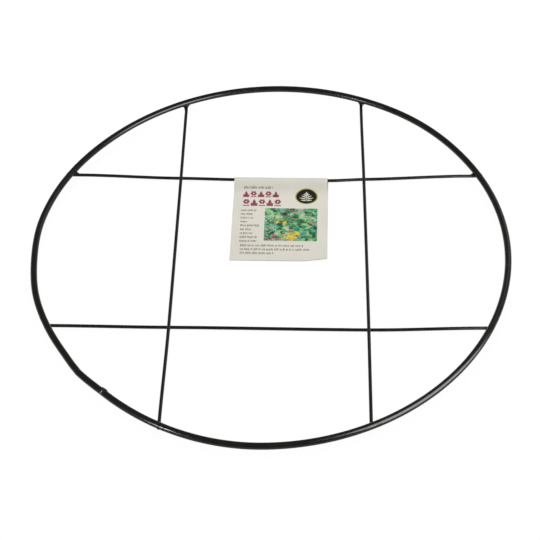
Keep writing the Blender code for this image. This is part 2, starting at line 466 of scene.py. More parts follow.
@dataclass(frozen=True)
class CoatFinish:
    """Black plastic coat, satin, with a fine peel and a few specks under it, and a painted reflection past
    the joint.

    Args:
        name: the material's name.
        painted_reflection_joint: the joint, past which a painted reflection makes the coat cooler for a
            stretch.
        deep: its darker patches.
        pale: its paler patches.
        painted_reflection_tone: the cooler tone of the painted reflection past the joint.
        smoothest: the least roughness.
        roughest: the most roughness.
        specular: how strongly it reflects.
        patches: how many patches to a metre.
        patch_detail: how many finer layers the patches have.
        peel: height of the peel.
        peel_scale: how many swellings of the peel to a metre.
        speck_scale: how many specks to a metre.
        speck_reach: a speck's radius, as a share of the specks' spacing.
        speck_height: how far a speck stands out.
        cool_edge: where the painted reflection's cool tone begins and where it is full, ahead of the joint's
            middle.
        cool_fade: how far from the joint the painted reflection begins to fade and where it is gone.
    """

    name: str
    painted_reflection_joint: Vector
    deep: Colour = (0.0031, 0.0032, 0.0018)
    pale: Colour = (0.0080, 0.0083, 0.0050)
    painted_reflection_tone: Colour = (0.0040, 0.0055, 0.0072)
    smoothest: float = 0.15
    roughest: float = 0.25
    specular: float = 0.50
    patches: float = 120.0
    patch_detail: float = 3.0
    peel: float = 0.0000015
    peel_scale: float = 420.0
    speck_scale: float = 210.0
    speck_reach: float = 0.12
    speck_height: float = 0.000003
    cool_edge: Spot = (-0.002, -0.001)
    cool_fade: Spot = (0.050, 0.100)

    def painted_reflection_share(self, bench: NodeBench, here: Feed) -> bpy.types.NodeSocket:
        """How strong the painted reflection is: sharp at the joint and soft at the stretch's other end.

        Args:
            bench: the material's nodes.
            here: the point on the piece.

        Returns:
            The share of the painted reflection's cool tone.
        """
        along = Vector((-self.painted_reflection_joint.y, self.painted_reflection_joint.x, 0.0)).normalized()
        offset = bench.vector_math("SUBTRACT", here, tuple(self.painted_reflection_joint))
        ahead = bench.add("ShaderNodeVectorMath", operation="DOT_PRODUCT")
        bench.feed(ahead.inputs[0], offset)
        bench.feed(ahead.inputs[1], tuple(along))
        away = bench.add("ShaderNodeVectorMath", operation="LENGTH")
        bench.feed(away.inputs[0], offset)
        past = bench.span(ahead.outputs["Value"], *self.cool_edge, 0.0, 1.0)
        near = bench.span(away.outputs["Value"], *self.cool_fade, 1.0, 0.0)
        return bench.math("MULTIPLY", past, near)

    def material(self) -> bpy.types.Material:
        """Make the material.

        Returns:
            The material.
        """
        bench = NodeBench(self.name)
        here = bench.here()
        patch = bench.clouds(here, self.patches, self.patch_detail)
        peel = bench.clouds(here, self.peel_scale)
        near = bench.cells(here, self.speck_scale).outputs["Distance"]
        speck = bench.span(near, 0.0, self.speck_reach, 1.0, 0.0)
        tone = bench.mix(bench.span(patch, *NOISE_SPAN, 0.0, 1.0), self.deep, self.pale)
        # Painted reflection: the coat turns a cooler tone for a stretch past the hoop's joint.
        tone = bench.mix(self.painted_reflection_share(bench, here), tone, self.painted_reflection_tone)
        rough = bench.span(patch, *NOISE_SPAN, self.smoothest, self.roughest)
        bench.surface(tone, rough, self.specular)
        bench.relief((peel, self.peel), (speck, self.speck_height))
        return bench.material


@dataclass(frozen=True)
class PaperFinish:
    """Uncoated card stock, warm and pale, with faint clouding and fibres, and greyer along its crease as
    painted shade of the fold.

    Args:
        crease: a point on the crease.
        slope: how far the crease runs back for each metre to the right.
        name: the material's name.
        pale: its paler clouds.
        dull: its duller clouds.
        painted_fold_shade: the tone of the painted shade behind the crease.
        fold_shade_reach: how far to each side of the crease the painted shade sets in.
        fold_shade_share: how far the painted shade covers the stock.
        clouding: how many clouds to a metre.
        fibres: how many fibres to a metre.
        fibre_detail: how many finer layers the fibres have.
        fibre_tone: the fibres' tone.
        fibre_shade: how strong that tone is at most.
        fibre_height: how far the fibres stand out.
        roughness: how rough it is.
        specular: how strongly it reflects.
    """

    crease: Spot
    slope: float
    name: str = "card_stock"
    pale: Colour = (0.788, 0.744, 0.656)
    dull: Colour = (0.738, 0.708, 0.630)
    painted_fold_shade: Colour = (0.520, 0.525, 0.520)
    fold_shade_reach: float = 0.0011
    fold_shade_share: float = 0.75
    clouding: float = 38.0
    fibres: float = 2600.0
    fibre_detail: float = 4.0
    fibre_tone: Colour = (0.30, 0.27, 0.22)
    fibre_shade: float = 0.05
    fibre_height: float = 0.000012
    roughness: float = 0.72
    specular: float = 0.25

    def material(self) -> bpy.types.Material:
        """Make the material.

        Returns:
            The material.
        """
        bench = NodeBench(self.name)
        here = bench.here()
        cloud = bench.span(bench.clouds(here, self.clouding), *NOISE_SPAN, 0.0, 1.0)
        fibre = bench.clouds(here, self.fibres, self.fibre_detail)
        stock = bench.mix(cloud, self.pale, self.dull)
        # Painted shade: the stock turns greyer along the crease, where the fold turns away from the light.
        parts = bench.add("ShaderNodeSeparateXYZ")
        bench.feed(parts.inputs[0], here)
        aside = bench.math("SUBTRACT", parts.outputs[0], self.crease[0])
        line = bench.math("ADD", bench.math("MULTIPLY", aside, self.slope), self.crease[1])
        behind = bench.math("SUBTRACT", parts.outputs[1], line)
        painted_fold_shade = bench.span(behind, -self.fold_shade_reach, self.fold_shade_reach, 0.0, self.fold_shade_share)
        stock = bench.mix(painted_fold_shade, stock, self.painted_fold_shade)
        stock = bench.mix(bench.math("MULTIPLY", fibre, self.fibre_shade), stock, self.fibre_tone)
        bench.surface(stock, self.roughness, self.specular)
        bench.relief((fibre, self.fibre_height))
        return bench.material


@dataclass(frozen=True)
class InkFinish:
    """Printing ink that lies a little unevenly on the card.

    Args:
        name: the material's name.
        ink: its colour.
        stock: the card's colour, where the ink is thin.
        thin: the largest share of the card that shows through.
        grain: how many thin spots to a metre.
        grain_detail: how many finer layers they have.
        grain_span: the noise at which the ink begins to thin and at which it is thinnest.
        roughness: how rough it is.
        specular: how strongly it reflects.
    """

    name: str
    ink: Colour
    stock: Colour = (0.70, 0.66, 0.58)
    thin: float = 0.16
    grain: float = 3200.0
    grain_detail: float = 3.0
    grain_span: Spot = (0.4, 0.75)
    roughness: float = 0.7
    specular: float = 0.1

    def material(self) -> bpy.types.Material:
        """Make the material.

        Returns:
            The material.
        """
        bench = NodeBench(self.name)
        grain = bench.clouds(bench.here(), self.grain, self.grain_detail)
        share = bench.span(grain, *self.grain_span, 0.0, self.thin)
        bench.surface(bench.mix(share, self.ink, self.stock), self.roughness, self.specular)
        return bench.material


@dataclass(frozen=True)
class Foliage:
    """One layer of leaves in the printed planting, in leaning patches of one colour each.

    Args:
        colours: the colours to pick from.
        scale: how many patches to the picture's width.
        lean: which way the patches lean, in radians.
    """

    colours: tuple[Colour, ...]
    scale: float
    lean: float


@dataclass(frozen=True)
class Haze:
    """Soft patches of one colour over the leaves of the printed planting.

    Args:
        colour: their colour.
        scale: how many patches to the picture's width.
        detail: how many finer layers they have.
        levels: the two levels of noise between which they come or go.
        cover: how far they hide what is behind them, at the one level and at the other.
    """

    colour: Colour
    scale: float
    detail: float
    levels: Spot
    cover: Spot


@dataclass(frozen=True)
class Blooms:
    """One kind of flower in the printed planting.

    Args:
        colours: the petals' colours.
        scale: how many flowers to the picture's width.
        reach: a flower's radius, as a share of the flowers' spacing.
        shift: moves the flowers, so that kinds don't coincide.
        drift: how many drifts of them to the picture's width.
        edge: how much of the picture has none of them, from 0 to 1.
        cover: how far a flower hides what is behind it.
    """

    colours: tuple[Colour, ...]
    scale: float
    reach: float
    shift: float
    drift: float
    edge: float
    cover: float


@dataclass(frozen=True)
class PlantingFinish:
    """Printed picture of mixed leaves and flowers, made up for this card.

    Args:
        corner: the picture's lower left corner.
        width: the picture's width, which is one unit of its own coordinates.
        name: the material's name.
        clumps: the broad leaves.
        blades: the slim leaves over them.
        blade_share: how far the slim leaves show over the broad ones.
        gaps: the dark gaps between plants.
        mist: the pale mist of small stems.
        blooms: the kinds of flower.
        swirl_scale: how many swirls that bend the leaves to the picture's width.
        swirl_reach: how far they bend the leaves across and up.
        patch_stretch: how much slimmer than long a leaf patch is.
        patch_scatter: how far leaf patches stray from rows.
        bloom_scatter: how far flowers stray from rows.
        bloom_core: how much of a flower's radius is fully covered.
        drift_edge: how softly a drift of flowers ends.
        roughness: how rough it is.
        specular: how strongly it reflects.
    """

    corner: Spot
    width: float
    name: str = "printed_planting"
    clumps: Foliage = Foliage(
        (
            (0.010, 0.130, 0.055),
            (0.012, 0.340, 0.150),
            (0.035, 0.430, 0.170),
            (0.300, 0.600, 0.250),
            (0.130, 0.400, 0.300),
            (0.016, 0.210, 0.100),
        ),
        scale=5.0,
        lean=0.4,
    )
    blades: Foliage = Foliage(
        (
            (0.010, 0.090, 0.045),
            (0.120, 0.480, 0.170),
            (0.520, 0.660, 0.400),
            (0.010, 0.290, 0.130),
            (0.330, 0.340, 0.230),
        ),
        scale=19.0,
        lean=-0.9,
    )
    blade_share: float = 0.40
    gaps: Haze = Haze((0.014, 0.032, 0.024), 8.0, 3.0, levels=(0.37, 0.48), cover=(0.85, 0.0))
    mist: Haze = Haze((0.600, 0.640, 0.540), 5.0, 2.0, levels=(0.56, 0.66), cover=(0.0, 0.70))
    blooms: tuple[Blooms, ...] = (
        Blooms(((0.80, 0.60, 0.06), (0.80, 0.50, 0.04)), 15.0, 0.60, 3.1, 3.2, 0.60, 0.95),
        Blooms(((0.66, 0.12, 0.16), (0.62, 0.30, 0.42)), 15.0, 0.32, 7.7, 3.0, 0.56, 0.85),
        Blooms(((0.80, 0.80, 0.76), (0.60, 0.66, 0.62)), 24.0, 0.36, 12.3, 2.6, 0.58, 0.70),
    )
    swirl_scale: float = 7.0
    swirl_reach: Spot = (0.11, 0.07)
    patch_stretch: float = 1.9
    patch_scatter: float = 0.95
    bloom_scatter: float = 0.85
    bloom_core: float = 0.7
    drift_edge: float = 0.04
    roughness: float = 0.65
    specular: float = 0.15

    def swirled(self, bench: NodeBench, flat: Feed) -> bpy.types.NodeSocket:
        """Bend the picture's coordinates, so that its leaves curve.

        Args:
            bench: the material's nodes.
            flat: the point on the picture.

        Returns:
            The point to look the leaves up at.
        """
        stir = bench.add("ShaderNodeTexNoise")
        bench.feed(stir.inputs["Vector"], flat)
        bench.feed(stir.inputs["Scale"], self.swirl_scale)
        swirl = bench.vector_math("SUBTRACT", stir.outputs["Color"], (0.5, 0.5, 0.5))
        return bench.vector_math("ADD", flat, bench.vector_math("MULTIPLY", swirl, (*self.swirl_reach, 0.0)))

    def leaves(self, bench: NodeBench, where: Feed, kind: Foliage) -> bpy.types.NodeSocket:
        """Lay down one layer of leaves.

        Args:
            bench: the material's nodes.
            where: the point on the picture.
            kind: the layer.

        Returns:
            The leaves' colour.
        """
        leaning = bench.add("ShaderNodeMapping")
        bench.feed(leaning.inputs["Vector"], where)
        leaning.inputs["Rotation"].default_value = (0.0, 0.0, kind.lean)
        leaning.inputs["Scale"].default_value = (1.0, self.patch_stretch, 1.0)
        cell = bench.cells(leaning.outputs[0], kind.scale, self.patch_scatter, flat=True)
        parts = bench.add("ShaderNodeSeparateColor")
        bench.feed(parts.inputs[0], cell.outputs["Color"])
        return bench.choose(parts.outputs[0], kind.colours)

    def with_haze(self, bench: NodeBench, where: Feed, behind: Feed, kind: Haze) -> bpy.types.NodeSocket:
        """Set one kind of soft patches in front of the colour behind them."""
        cloud = bench.clouds(where, kind.scale, kind.detail)
        return bench.mix(bench.span(cloud, *kind.levels, *kind.cover), behind, kind.colour)

    def with_blooms(self, bench: NodeBench, where: Feed, behind: Feed, kind: Blooms) -> bpy.types.NodeSocket:
        """Set one kind of flower in front of what is behind it.

        Args:
            bench: the material's nodes.
            where: the point on the picture.
            behind: the colour behind the flowers.
            kind: the kind of flower.

        Returns:
            The colour with the flowers.
        """
        moved = bench.vector_math("ADD", where, (kind.shift, kind.shift, 0.0))
        cell = bench.cells(moved, kind.scale, self.bloom_scatter, flat=True)
        inside = bench.span(cell.outputs["Distance"], kind.reach * self.bloom_core, kind.reach, 1.0, 0.0)
        cloud = bench.clouds(moved, kind.drift)
        drift = bench.span(cloud, kind.edge, kind.edge + self.drift_edge, 0.0, kind.cover)
        parts = bench.add("ShaderNodeSeparateColor")
        bench.feed(parts.inputs[0], cell.outputs["Color"])
        petals = bench.choose(parts.outputs[1], kind.colours)
        return bench.mix(bench.math("MULTIPLY", inside, drift), behind, petals)

    def material(self) -> bpy.types.Material:
        """Make the material.

        Returns:
            The material.
        """
        bench = NodeBench(self.name)
        moved = bench.vector_math("SUBTRACT", bench.here(), (*self.corner, 0.0))
        unit = 1 / self.width
        where = self.swirled(bench, bench.vector_math("MULTIPLY", moved, (unit, unit, 0.0)))
        clumps = self.leaves(bench, where, self.clumps)
        blades = self.leaves(bench, where, self.blades)
        colour = bench.mix(self.blade_share, clumps, blades)
        for kind in (self.gaps, self.mist):
            colour = self.with_haze(bench, where, colour, kind)
        for kind in self.blooms:
            colour = self.with_blooms(bench, where, colour, kind)
        bench.surface(colour, self.roughness, self.specular)
        return bench.material


class Track:
    """Smooth line through the middle of a bar, measured by the length along it."""

    def __init__(self, knots: Sequence[Vector], step: float) -> None:
        """Round the line between its knots.

        Args:
            knots: the points that it passes through.
            step: about how far apart its own points are.
        """
        self.points: list[Vector] = []
        padded = [2 * knots[0] - knots[1], *knots, 2 * knots[-1] - knots[-2]]
        for before, start, end, after in zip(padded, padded[1:], padded[2:], padded[3:]):
            pieces = max(1, round((end - start).length / step))
            for index in range(pieces):
                self.points.append(self.between(before, start, end, after, index / pieces))
        self.points.append(knots[-1].copy())
        gaps = [(b - a).length for a, b in zip(self.points, self.points[1:])]
        self.runs = np.concatenate(([0.0], np.cumsum(gaps)))
        self.places = np.array(self.points)

    @staticmethod
    def between(before: Vector, start: Vector, end: Vector, after: Vector, share: float) -> Vector:
        """Point between two knots.

        Args:
            before: the knot before the first.
            start: the first knot.
            end: the second knot.
            after: the knot after the second.
            share: how far from the first to the second, from 0 to 1.

        Returns:
            The point.
        """
        reach = (end - start).length
        leave = (end - before) * reach / max((start - before).length + reach, MM)
        arrive = (after - start) * reach / max((after - end).length + reach, MM)
        square, cube = share ** 2, share ** 3
        placed = (2 * cube - 3 * square + 1) * start + (3 * square - 2 * cube) * end
        return placed + (cube - 2 * square + share) * leave + (cube - square) * arrive

    @property
    def length(self) -> float:
        """The line's whole length."""
        return float(self.runs[-1])

    def at(self, run: float) -> Vector:
        """Point at a length along the line."""
        return Vector([float(np.interp(run, self.runs, self.places[:, axis])) for axis in range(3)])

    def heading(self, run: float) -> Vector:
        """Direction of the line at a length along it.

        Args:
            run: the length along it.

        Returns:
            The direction, one unit long.
        """
        reach = 0.5 * MM
        low, high = max(run - reach, 0.0), min(run + reach, self.length)
        return (self.at(high) - self.at(low)).normalized()


def spine_of(node: str, lie: Lie, start: float = 0.0) -> list[Vector]:
    """Read a bar's centre line off its solid, whose corners stand in rings along it.

    Args:
        node: the solid's node.
        lie: how the bar lies.
        start: the angle at which a round bar begins.

    Returns:
        The middle of each ring, in order.
    """
    corners = np.array([corner.co for corner in frame["nodes"][node].data.vertices], float)
    if lie is Lie.ROUND:
        along = (np.arctan2(corners[:, 1], corners[:, 0]) - start) % TURN
        apart = RING_TURN
    else:
        along = corners[:, 0 if lie is Lie.LEFT_TO_RIGHT else 1]
        apart = RING_RUN
    order = np.argsort(along)
    cuts = np.nonzero(np.diff(along[order]) > apart)[0] + 1
    rings = [corners[ring] for ring in np.split(order, cuts)]
    return with_corners([Vector((ring.min(0) + ring.max(0)) / 2) for ring in rings])


def with_corners(
    knots: Sequence[Vector], sharp: float = radians(9), near: float = 0.0018, room: float = 2.5
) -> list[Vector]:
    """Keep a line's sharp bends from being rounded off, by a knot close to each side of them.

    Args:
        knots: the line's knots.
        sharp: the least turn that counts as a sharp bend.
        near: how far from the bend the new knots stand.
        room: how many times as far the next knot is at least, where they are added.

    Returns:
        The knots with those added.
    """
    kept = [knots[0]]
    for before, knot, after in zip(knots, knots[1:], knots[2:]):
        arrive, leave = knot - before, after - knot
        if arrive.angle(leave) > sharp and min(arrive.length, leave.length) > room * near:
            kept += [knot - arrive.normalized() * near, knot, knot + leave.normalized() * near]
        else:
            kept.append(knot)
    return [*kept, knots[-1]]


def plan_crossing(first: Track, second: Track, window: Spot, tries: int = 400) -> Spot:
    """Find where one bar passes over another, seen from above.

    Args:
        first: the one bar's line.
        second: the other bar's line.
        window: the stretch of the first to look along.
        tries: how many places of that stretch are tried.

    Returns:
        The lengths along the first and along the second.
    """
    runs = np.linspace(*window, tries)
    spots = np.array([first.at(run) for run in runs])[:, :2]
    gaps = np.linalg.norm(spots[:, None] - second.places[None, :, :2], axis=2)
    near, far = np.unravel_index(gaps.argmin(), gaps.shape)
    return float(runs[near]), float(second.runs[far])


@dataclass
class Bar:
    """Coated round bar with softened ends, a little uneven where the coat has run.

    Args:
        name: the piece's name.
        track: the line that it follows.
        diameter: its diameter over the coat.
        sides: how many sides its rings have.
        softening: how far its ends are rounded.
        step: how far apart its rings are.
        lump: how far the coat swells and thins.
        lump_scale: how many swellings to a metre.
        end_steps: how many steps round each end off.
    """

    name: str
    track: Track
    diameter: float
    sides: int = 28
    softening: float = 0.0007
    step: float = 0.0016
    lump: float = 0.000015
    lump_scale: float = 170.0
    end_steps: int = 4

    def stations(self) -> list[Spot]:
        """Where the rings stand along the bar.

        Returns:
            Pairs of a length along it and how far the radius falls short there.
        """
        quarter = [pi / 2 * index / self.end_steps for index in range(self.end_steps + 1)]
        start = [(self.softening * (1 - cos(a)), self.softening * (1 - sin(a))) for a in quarter]
        end = [(self.track.length - run, short) for run, short in reversed(start)]
        span = self.track.length - 2 * self.softening
        count = max(2, round(span / self.step))
        middle = [(self.softening + span * index / count, 0.0) for index in range(1, count)]
        return [*start, *middle, *end]

    def mesh(self) -> bpy.types.Mesh:
        """Build the bar's mesh.

        Returns:
            The mesh.
        """
        work = bmesh.new()
        rings = []
        for run, short in self.stations():
            middle = self.track.at(run)
            heading = self.track.heading(run)
            aside = UP.cross(heading).normalized()
            over = heading.cross(aside)
            ring = []
            for index in range(self.sides):
                turn = TURN * index / self.sides
                way = aside * cos(turn) + over * sin(turn)
                radius = self.diameter / 2 - self.lump - short
                swell = noise.noise((middle + way * radius) * self.lump_scale) * self.lump
                ring.append(work.verts.new(middle + way * (radius + swell)))
            rings.append(ring)
        close_round(work, rings)
        for ring in (rings[0], rings[-1]):
            hub = work.verts.new(sum((corner.co for corner in ring), Vector()) / self.sides)
            for index in range(self.sides):
                work.faces.new((ring[index], ring[(index + 1) % self.sides], hub))
        return mesh_from(self.name, work)


@dataclass
class Blob:
    """One lump of weld metal: an ellipsoid that lies along a direction.

    Args:
        middle: its centre.
        along: the level direction of its first half size.
        half: its half sizes along, across and up.
        segments: how many faces it has round it.
        rings: how many it has from top to bottom.
    """

    middle: Vector
    along: Vector
    half: Sizes
    segments: int = 24
    rings: int = 16

    def add_to(self, work: bmesh.types.BMesh) -> None:
        """Add the lump to a rough shape.

        Args:
            work: the rough shape.
        """
        turned = Matrix.Rotation(atan2(self.along.y, self.along.x), 4, "Z")
        grown = Matrix.Diagonal((*self.half, 1.0))
        where = Matrix.Translation(self.middle) @ turned @ grown
        bmesh.ops.create_uvsphere(
            work, u_segments=self.segments, v_segments=self.rings, radius=1.0, matrix=where
        )


@dataclass
class Flare:
    """Web of weld metal from the rod out along a wire, broad at the rod and hollow-sided.

    Args:
        foot: its middle in the rod.
        inward: the level direction that it runs out in.
        rod_way: the level direction of the rod.
        reach: how far it runs.
        spread: its half widths at the rod and on the wire.
        depth: its half heights at the rod and on the wire.
        lean: how far its broad end is shifted to the left of the way that it runs.
        drop: how far its middle sinks on the way.
        hollow: how hollow its sides are, 1 for straight ones.
        squaring: how soon its rings turn from the rod's way square to the wire, 1 for only at its end.
        rings: how many stretches it has along the wire.
        sides: how many sides its rings have.
    """

    foot: Vector
    inward: Vector
    rod_way: Vector
    reach: float
    spread: Spot
    depth: Spot
    lean: float = 0.0
    drop: float = 0.0
    hollow: float = 2.8
    squaring: float = 1.5
    rings: int = 12
    sides: int = 24

    def add_to(self, work: bmesh.types.BMesh) -> None:
        """Add the web to a rough shape.

        Args:
            work: the rough shape.
        """
        level = Vector((self.inward.x, self.inward.y, 0.0)).normalized()
        across = UP.cross(level)
        at_rod = self.rod_way * (1 if self.rod_way.dot(across) > 0 else -1)
        turns = [TURN * side / self.sides for side in range(self.sides)]
        placed = []
        for index in range(self.rings + 1):
            share = index / self.rings
            flare = (1 - share) ** self.hollow
            half = self.spread[1] + (self.spread[0] - self.spread[1]) * flare
            tall = self.depth[1] + (self.depth[0] - self.depth[1]) * flare
            left = at_rod.lerp(across, min(share * self.squaring, 1.0)).normalized()
            middle = self.foot + level * self.reach * share + left * self.lean * flare
            middle -= UP * self.drop * share
            placed.append([work.verts.new(middle + left * half * cos(a) + UP * tall * sin(a)) for a in turns])
        close_round(work, placed)
        work.faces.new(placed[0])
        work.faces.new(placed[-1])


@dataclass
class Stub:
    """Short stretch of a bar that a bead runs out on, just under the bar's own surface.

    Args:
        start: one end of its axis.
        end: the other end.
        diameter: the bar's diameter.
        under: how far it stays under the bar's surface.
        sides: how many sides it has.
    """

    start: Vector
    end: Vector
    diameter: float
    under: float = 0.00005
    sides: int = 40

    def add_to(self, work: bmesh.types.BMesh) -> None:
        """Add the stretch to a rough shape.

        Args:
            work: the rough shape.
        """
        axis = self.end - self.start
        turned = axis.to_track_quat("Z", "Y").to_matrix().to_4x4()
        bmesh.ops.create_cone(
            work,
            cap_ends=True,
            segments=self.sides,
            radius1=self.diameter / 2 - self.under,
            radius2=self.diameter / 2 - self.under,
            depth=axis.length,
            matrix=Matrix.Translation((self.start + self.end) / 2) @ turned,
        )


@dataclass
class Bead:
    """Weld bead under the coat: lumps and bar stretches run together, with hollow curves between.

    Args:
        name: the piece's name.
        shapes: its lumps, webs and stretches.
        grain: size of the cells in which they are run together.
        easing: how far one round of smoothing goes, from 0 to 1.
        settling: how many rounds of smoothing make the hollow curves.
        ripple: height of the bead's unevenness.
        ripple_scale: how many ripples to a metre.
    """

    name: str
    shapes: list[Blob | Flare | Stub]
    grain: float = 0.00017
    easing: float = 0.5
    settling: int = 16
    ripple: float = 0.00007
    ripple_scale: float = 900.0

    def mesh(self) -> bpy.types.Mesh:
        """Build the bead's mesh.

        Returns:
            The mesh.
        """
        work = bmesh.new()
        for shape in self.shapes:
            shape.add_to(work)
        lump = Workpiece(self.name, work)
        lump.put_on("REMESH", mode="VOXEL", voxel_size=self.grain)
        lump.put_on("SMOOTH", factor=self.easing, iterations=self.settling)
        mesh = lump.finished()
        outward = [corner.normal.copy() for corner in mesh.vertices]
        for corner, way in zip(mesh.vertices, outward):
            corner.co += way * noise.noise(corner.co * self.ripple_scale) * self.ripple
        mesh.shade_smooth()
        return mesh


@dataclass
class Steelwork:
    """The hoop, the grid under it and the beads that join them.

    Args:
        coat: the finish of rod and wires.
        bead_coat: the finish of the beads.
        web_coat: the finish of the beads at the back wire's ends, which form wide webs.
        joint_coat: the finish of the bead that closes the hoop.
        rod: the hoop rod's diameter, from its solid.
        wire: the wires' diameter, from their solids.
        hoop: the hoop's line, from its solid.
        wires: the wires' lines, from their solids.
        hoop_sides: how many sides the rod's rings have.
        line_step: how far apart the points of those lines are.
        end_window: how far in from its end a wire is looked along for the rod over it.
        web_reach: how far a full bead's web runs in along the wire.
        web_in: how far in from the rod's middle the web begins.
        web_down: how far under the rod's middle it begins.
        web_wide: its half width there.
        web_tall: its half height there.
        web_under: how far its end stays under the wire's surface.
        stub_reach: how far the closing bead runs out on the rod, which the other beads' reaches go by.
        rod_stub: how far a wire's end bead runs out on the rod, in such reaches.
        wire_stub: how far it runs in on the wire, in such reaches.
        wire_back: how far it begins outside the rod's middle, in wire diameters.
        crossing_stub: how far a crossing's bead runs out on each wire, in such reaches.
        crossing_blob: half sizes of the lump where two wires cross.
        closing_fill: half sizes of the lump that fills the hoop's gap.
        closing_blob: half sizes of the swelling there.
        closing_in: how far in from the rod's middle the swelling stands.
        closing_ahead: how far it stands from the gap's middle towards the hoop's start.
        ridge_apart: how far from the swelling its two ridge lumps stand, as a share of its half length.
        ridge_size: their size, as a share of the swelling's.
        ridge_in: how far further in each of the two stands.
        spatter: half sizes of the drop of spatter on the joint.
        spatter_out: how far outside the rod's middle the drop lies.
        spatter_sunk: how far its middle is sunk under the rod's top.
        metal: by wire and end, how much metal a bead has, 1 for a full one, and how far it leans to its left.
    """

    coat: bpy.types.Material
    bead_coat: bpy.types.Material
    web_coat: bpy.types.Material
    joint_coat: bpy.types.Material
    rod: float = field(init=False)
    wire: float = field(init=False)
    hoop: Track = field(init=False)
    wires: dict[str, Track] = field(init=False)
    hoop_sides: int = 36
    line_step: float = 0.0015
    end_window: float = 0.02
    web_reach: float = 0.0058
    web_in: float = 0.0010
    web_down: float = 0.0018
    web_wide: float = 0.0064
    web_tall: float = 0.0014
    web_under: float = 0.0001
    stub_reach: float = 0.0048
    rod_stub: float = 1.5
    wire_stub: float = 2.0
    wire_back: float = 0.125
    crossing_stub: float = 0.8
    crossing_blob: Sizes = (0.0016, 0.0016, 0.0012)
    closing_fill: Sizes = (0.0019, 0.0029, 0.0029)
    closing_blob: Sizes = (0.0044, 0.0029, 0.0025)
    closing_in: float = 0.0009
    closing_ahead: float = 0.0003
    ridge_apart: float = 0.5
    ridge_size: float = 0.66
    ridge_in: Spot = (0.0003, 0.0008)
    spatter: Sizes = (0.0009, 0.0008, 0.0008)
    spatter_out: float = 0.0005
    spatter_sunk: float = 0.00045
    metal: dict[str, Spot] = field(default_factory=lambda: {
        "left_front": (0.8, 0.0),
        "left_back": (0.75, 0.0004),
        "right_front": (0.8, 0.0),
        "right_back": (0.75, 0.0008),
        "front_left": (0.5, 0.0),
        "front_right": (0.5, 0.0),
        "back_left": (0.6, 0.0008),
        "back_right": (0.6, -0.0008),
    })

    def __post_init__(self) -> None:
        """Read the bars' lines and sizes off their solids."""
        low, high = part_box("hoop")
        self.rod = high.z - low.z
        low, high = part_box("wire_left")
        self.wire = high.z - low.z
        low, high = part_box("weld_hoop_joint")
        joint = (low + high) / 2
        self.hoop = Track(spine_of("hoop", Lie.ROUND, atan2(joint.y, joint.x)), self.line_step)
        lies = {"left": Lie.FRONT_TO_BACK, "right": Lie.FRONT_TO_BACK}
        lies |= {"front": Lie.LEFT_TO_RIGHT, "back": Lie.LEFT_TO_RIGHT}
        self.wires = {
            name: Track(spine_of(f"wire_{name}", lie), self.line_step) for name, lie in lies.items()
        }

    def saddle(self, name: str, wire: Track, at_start: bool, metal: Spot) -> Bead:
        """Bead that joins one end of a wire to the hoop, on the hoop's inner side.

        Args:
            name: the bead's name.
            wire: the wire's line.
            at_start: whether it is at the line's first end.
            metal: how much metal it has, 1 for a full bead, and how far it leans to its left.

        Returns:
            The bead.
        """
        fullness, lean = metal
        window = (0.0, self.end_window) if at_start else (wire.length - self.end_window, wire.length)
        run, hoop_run = plan_crossing(wire, self.hoop, window)
        inward = wire.heading(run) * (1 if at_start else -1)
        rod_way = self.hoop.heading(hoop_run)
        seat = wire.at(run)
        over = self.hoop.at(hoop_run)
        foot = Vector((over.x, over.y, over.z - self.web_down)) + inward * self.web_in
        spread = (max(self.web_wide * fullness, self.wire / 2), self.wire / 2 - self.web_under)
        depth = (self.web_tall, self.wire / 2 - self.web_under)
        along_rod = rod_way * self.stub_reach * self.rod_stub
        back, ahead = inward * self.wire * self.wire_back, inward * self.stub_reach * self.wire_stub
        return Bead(name, [
            Stub(over - along_rod, over + along_rod, self.rod),
            Stub(seat - back, seat + ahead, self.wire),
            Flare(foot, inward, rod_way, self.web_reach * fullness, spread, depth, lean, foot.z - seat.z),
        ])

    def crossing(self, name: str, row: Track, column: Track, window: Spot) -> Bead:
        """Bead where a front-to-back wire lies on a left-to-right one.

        Args:
            name: the bead's name.
            row: the left-to-right wire's line.
            column: the front-to-back wire's line.
            window: the stretch of the row to look along.

        Returns:
            The bead.
        """
        run, column_run = plan_crossing(row, column, window)
        lower, upper = row.at(run), column.at(column_run)
        reach = self.stub_reach * self.crossing_stub
        row_way, column_way = row.heading(run), column.heading(column_run)
        return Bead(name, [
            Stub(lower - row_way * reach, lower + row_way * reach, self.wire),
            Stub(upper - column_way * reach, upper + column_way * reach, self.wire),
            Blob((lower + upper) / 2, row_way, self.crossing_blob),
        ])

    def closing(self, name: str) -> Bead:
        """Bead that closes the hoop: it fills the gap and swells on the inner side.

        Args:
            name: the bead's name.

        Returns:
            The bead.
        """
        start, end = self.hoop.at(0.0), self.hoop.at(self.hoop.length)
        middle = (start + end) / 2
        along = (start - end).normalized()
        inward = Vector((-middle.x, -middle.y, 0.0)).normalized()
        reach = self.stub_reach
        swelling = middle + inward * self.closing_in + along * self.closing_ahead
        ridge = along * self.closing_blob[0] * self.ridge_apart
        first_in, second_in = self.ridge_in
        small = tuple(size * self.ridge_size for size in self.closing_blob)
        drop = middle - inward * self.spatter_out + UP * (self.rod / 2 - self.spatter_sunk)
        return Bead(name, [
            Stub(start, self.hoop.at(reach), self.rod),
            Stub(end, self.hoop.at(self.hoop.length - reach), self.rod),
            Blob(middle, along, self.closing_fill),
            Blob(swelling, along, self.closing_blob),
            Blob(swelling + ridge + inward * first_in, along, small),
            Blob(swelling - ridge + inward * second_in, along, small),
            Blob(drop, along, self.spatter),
        ])

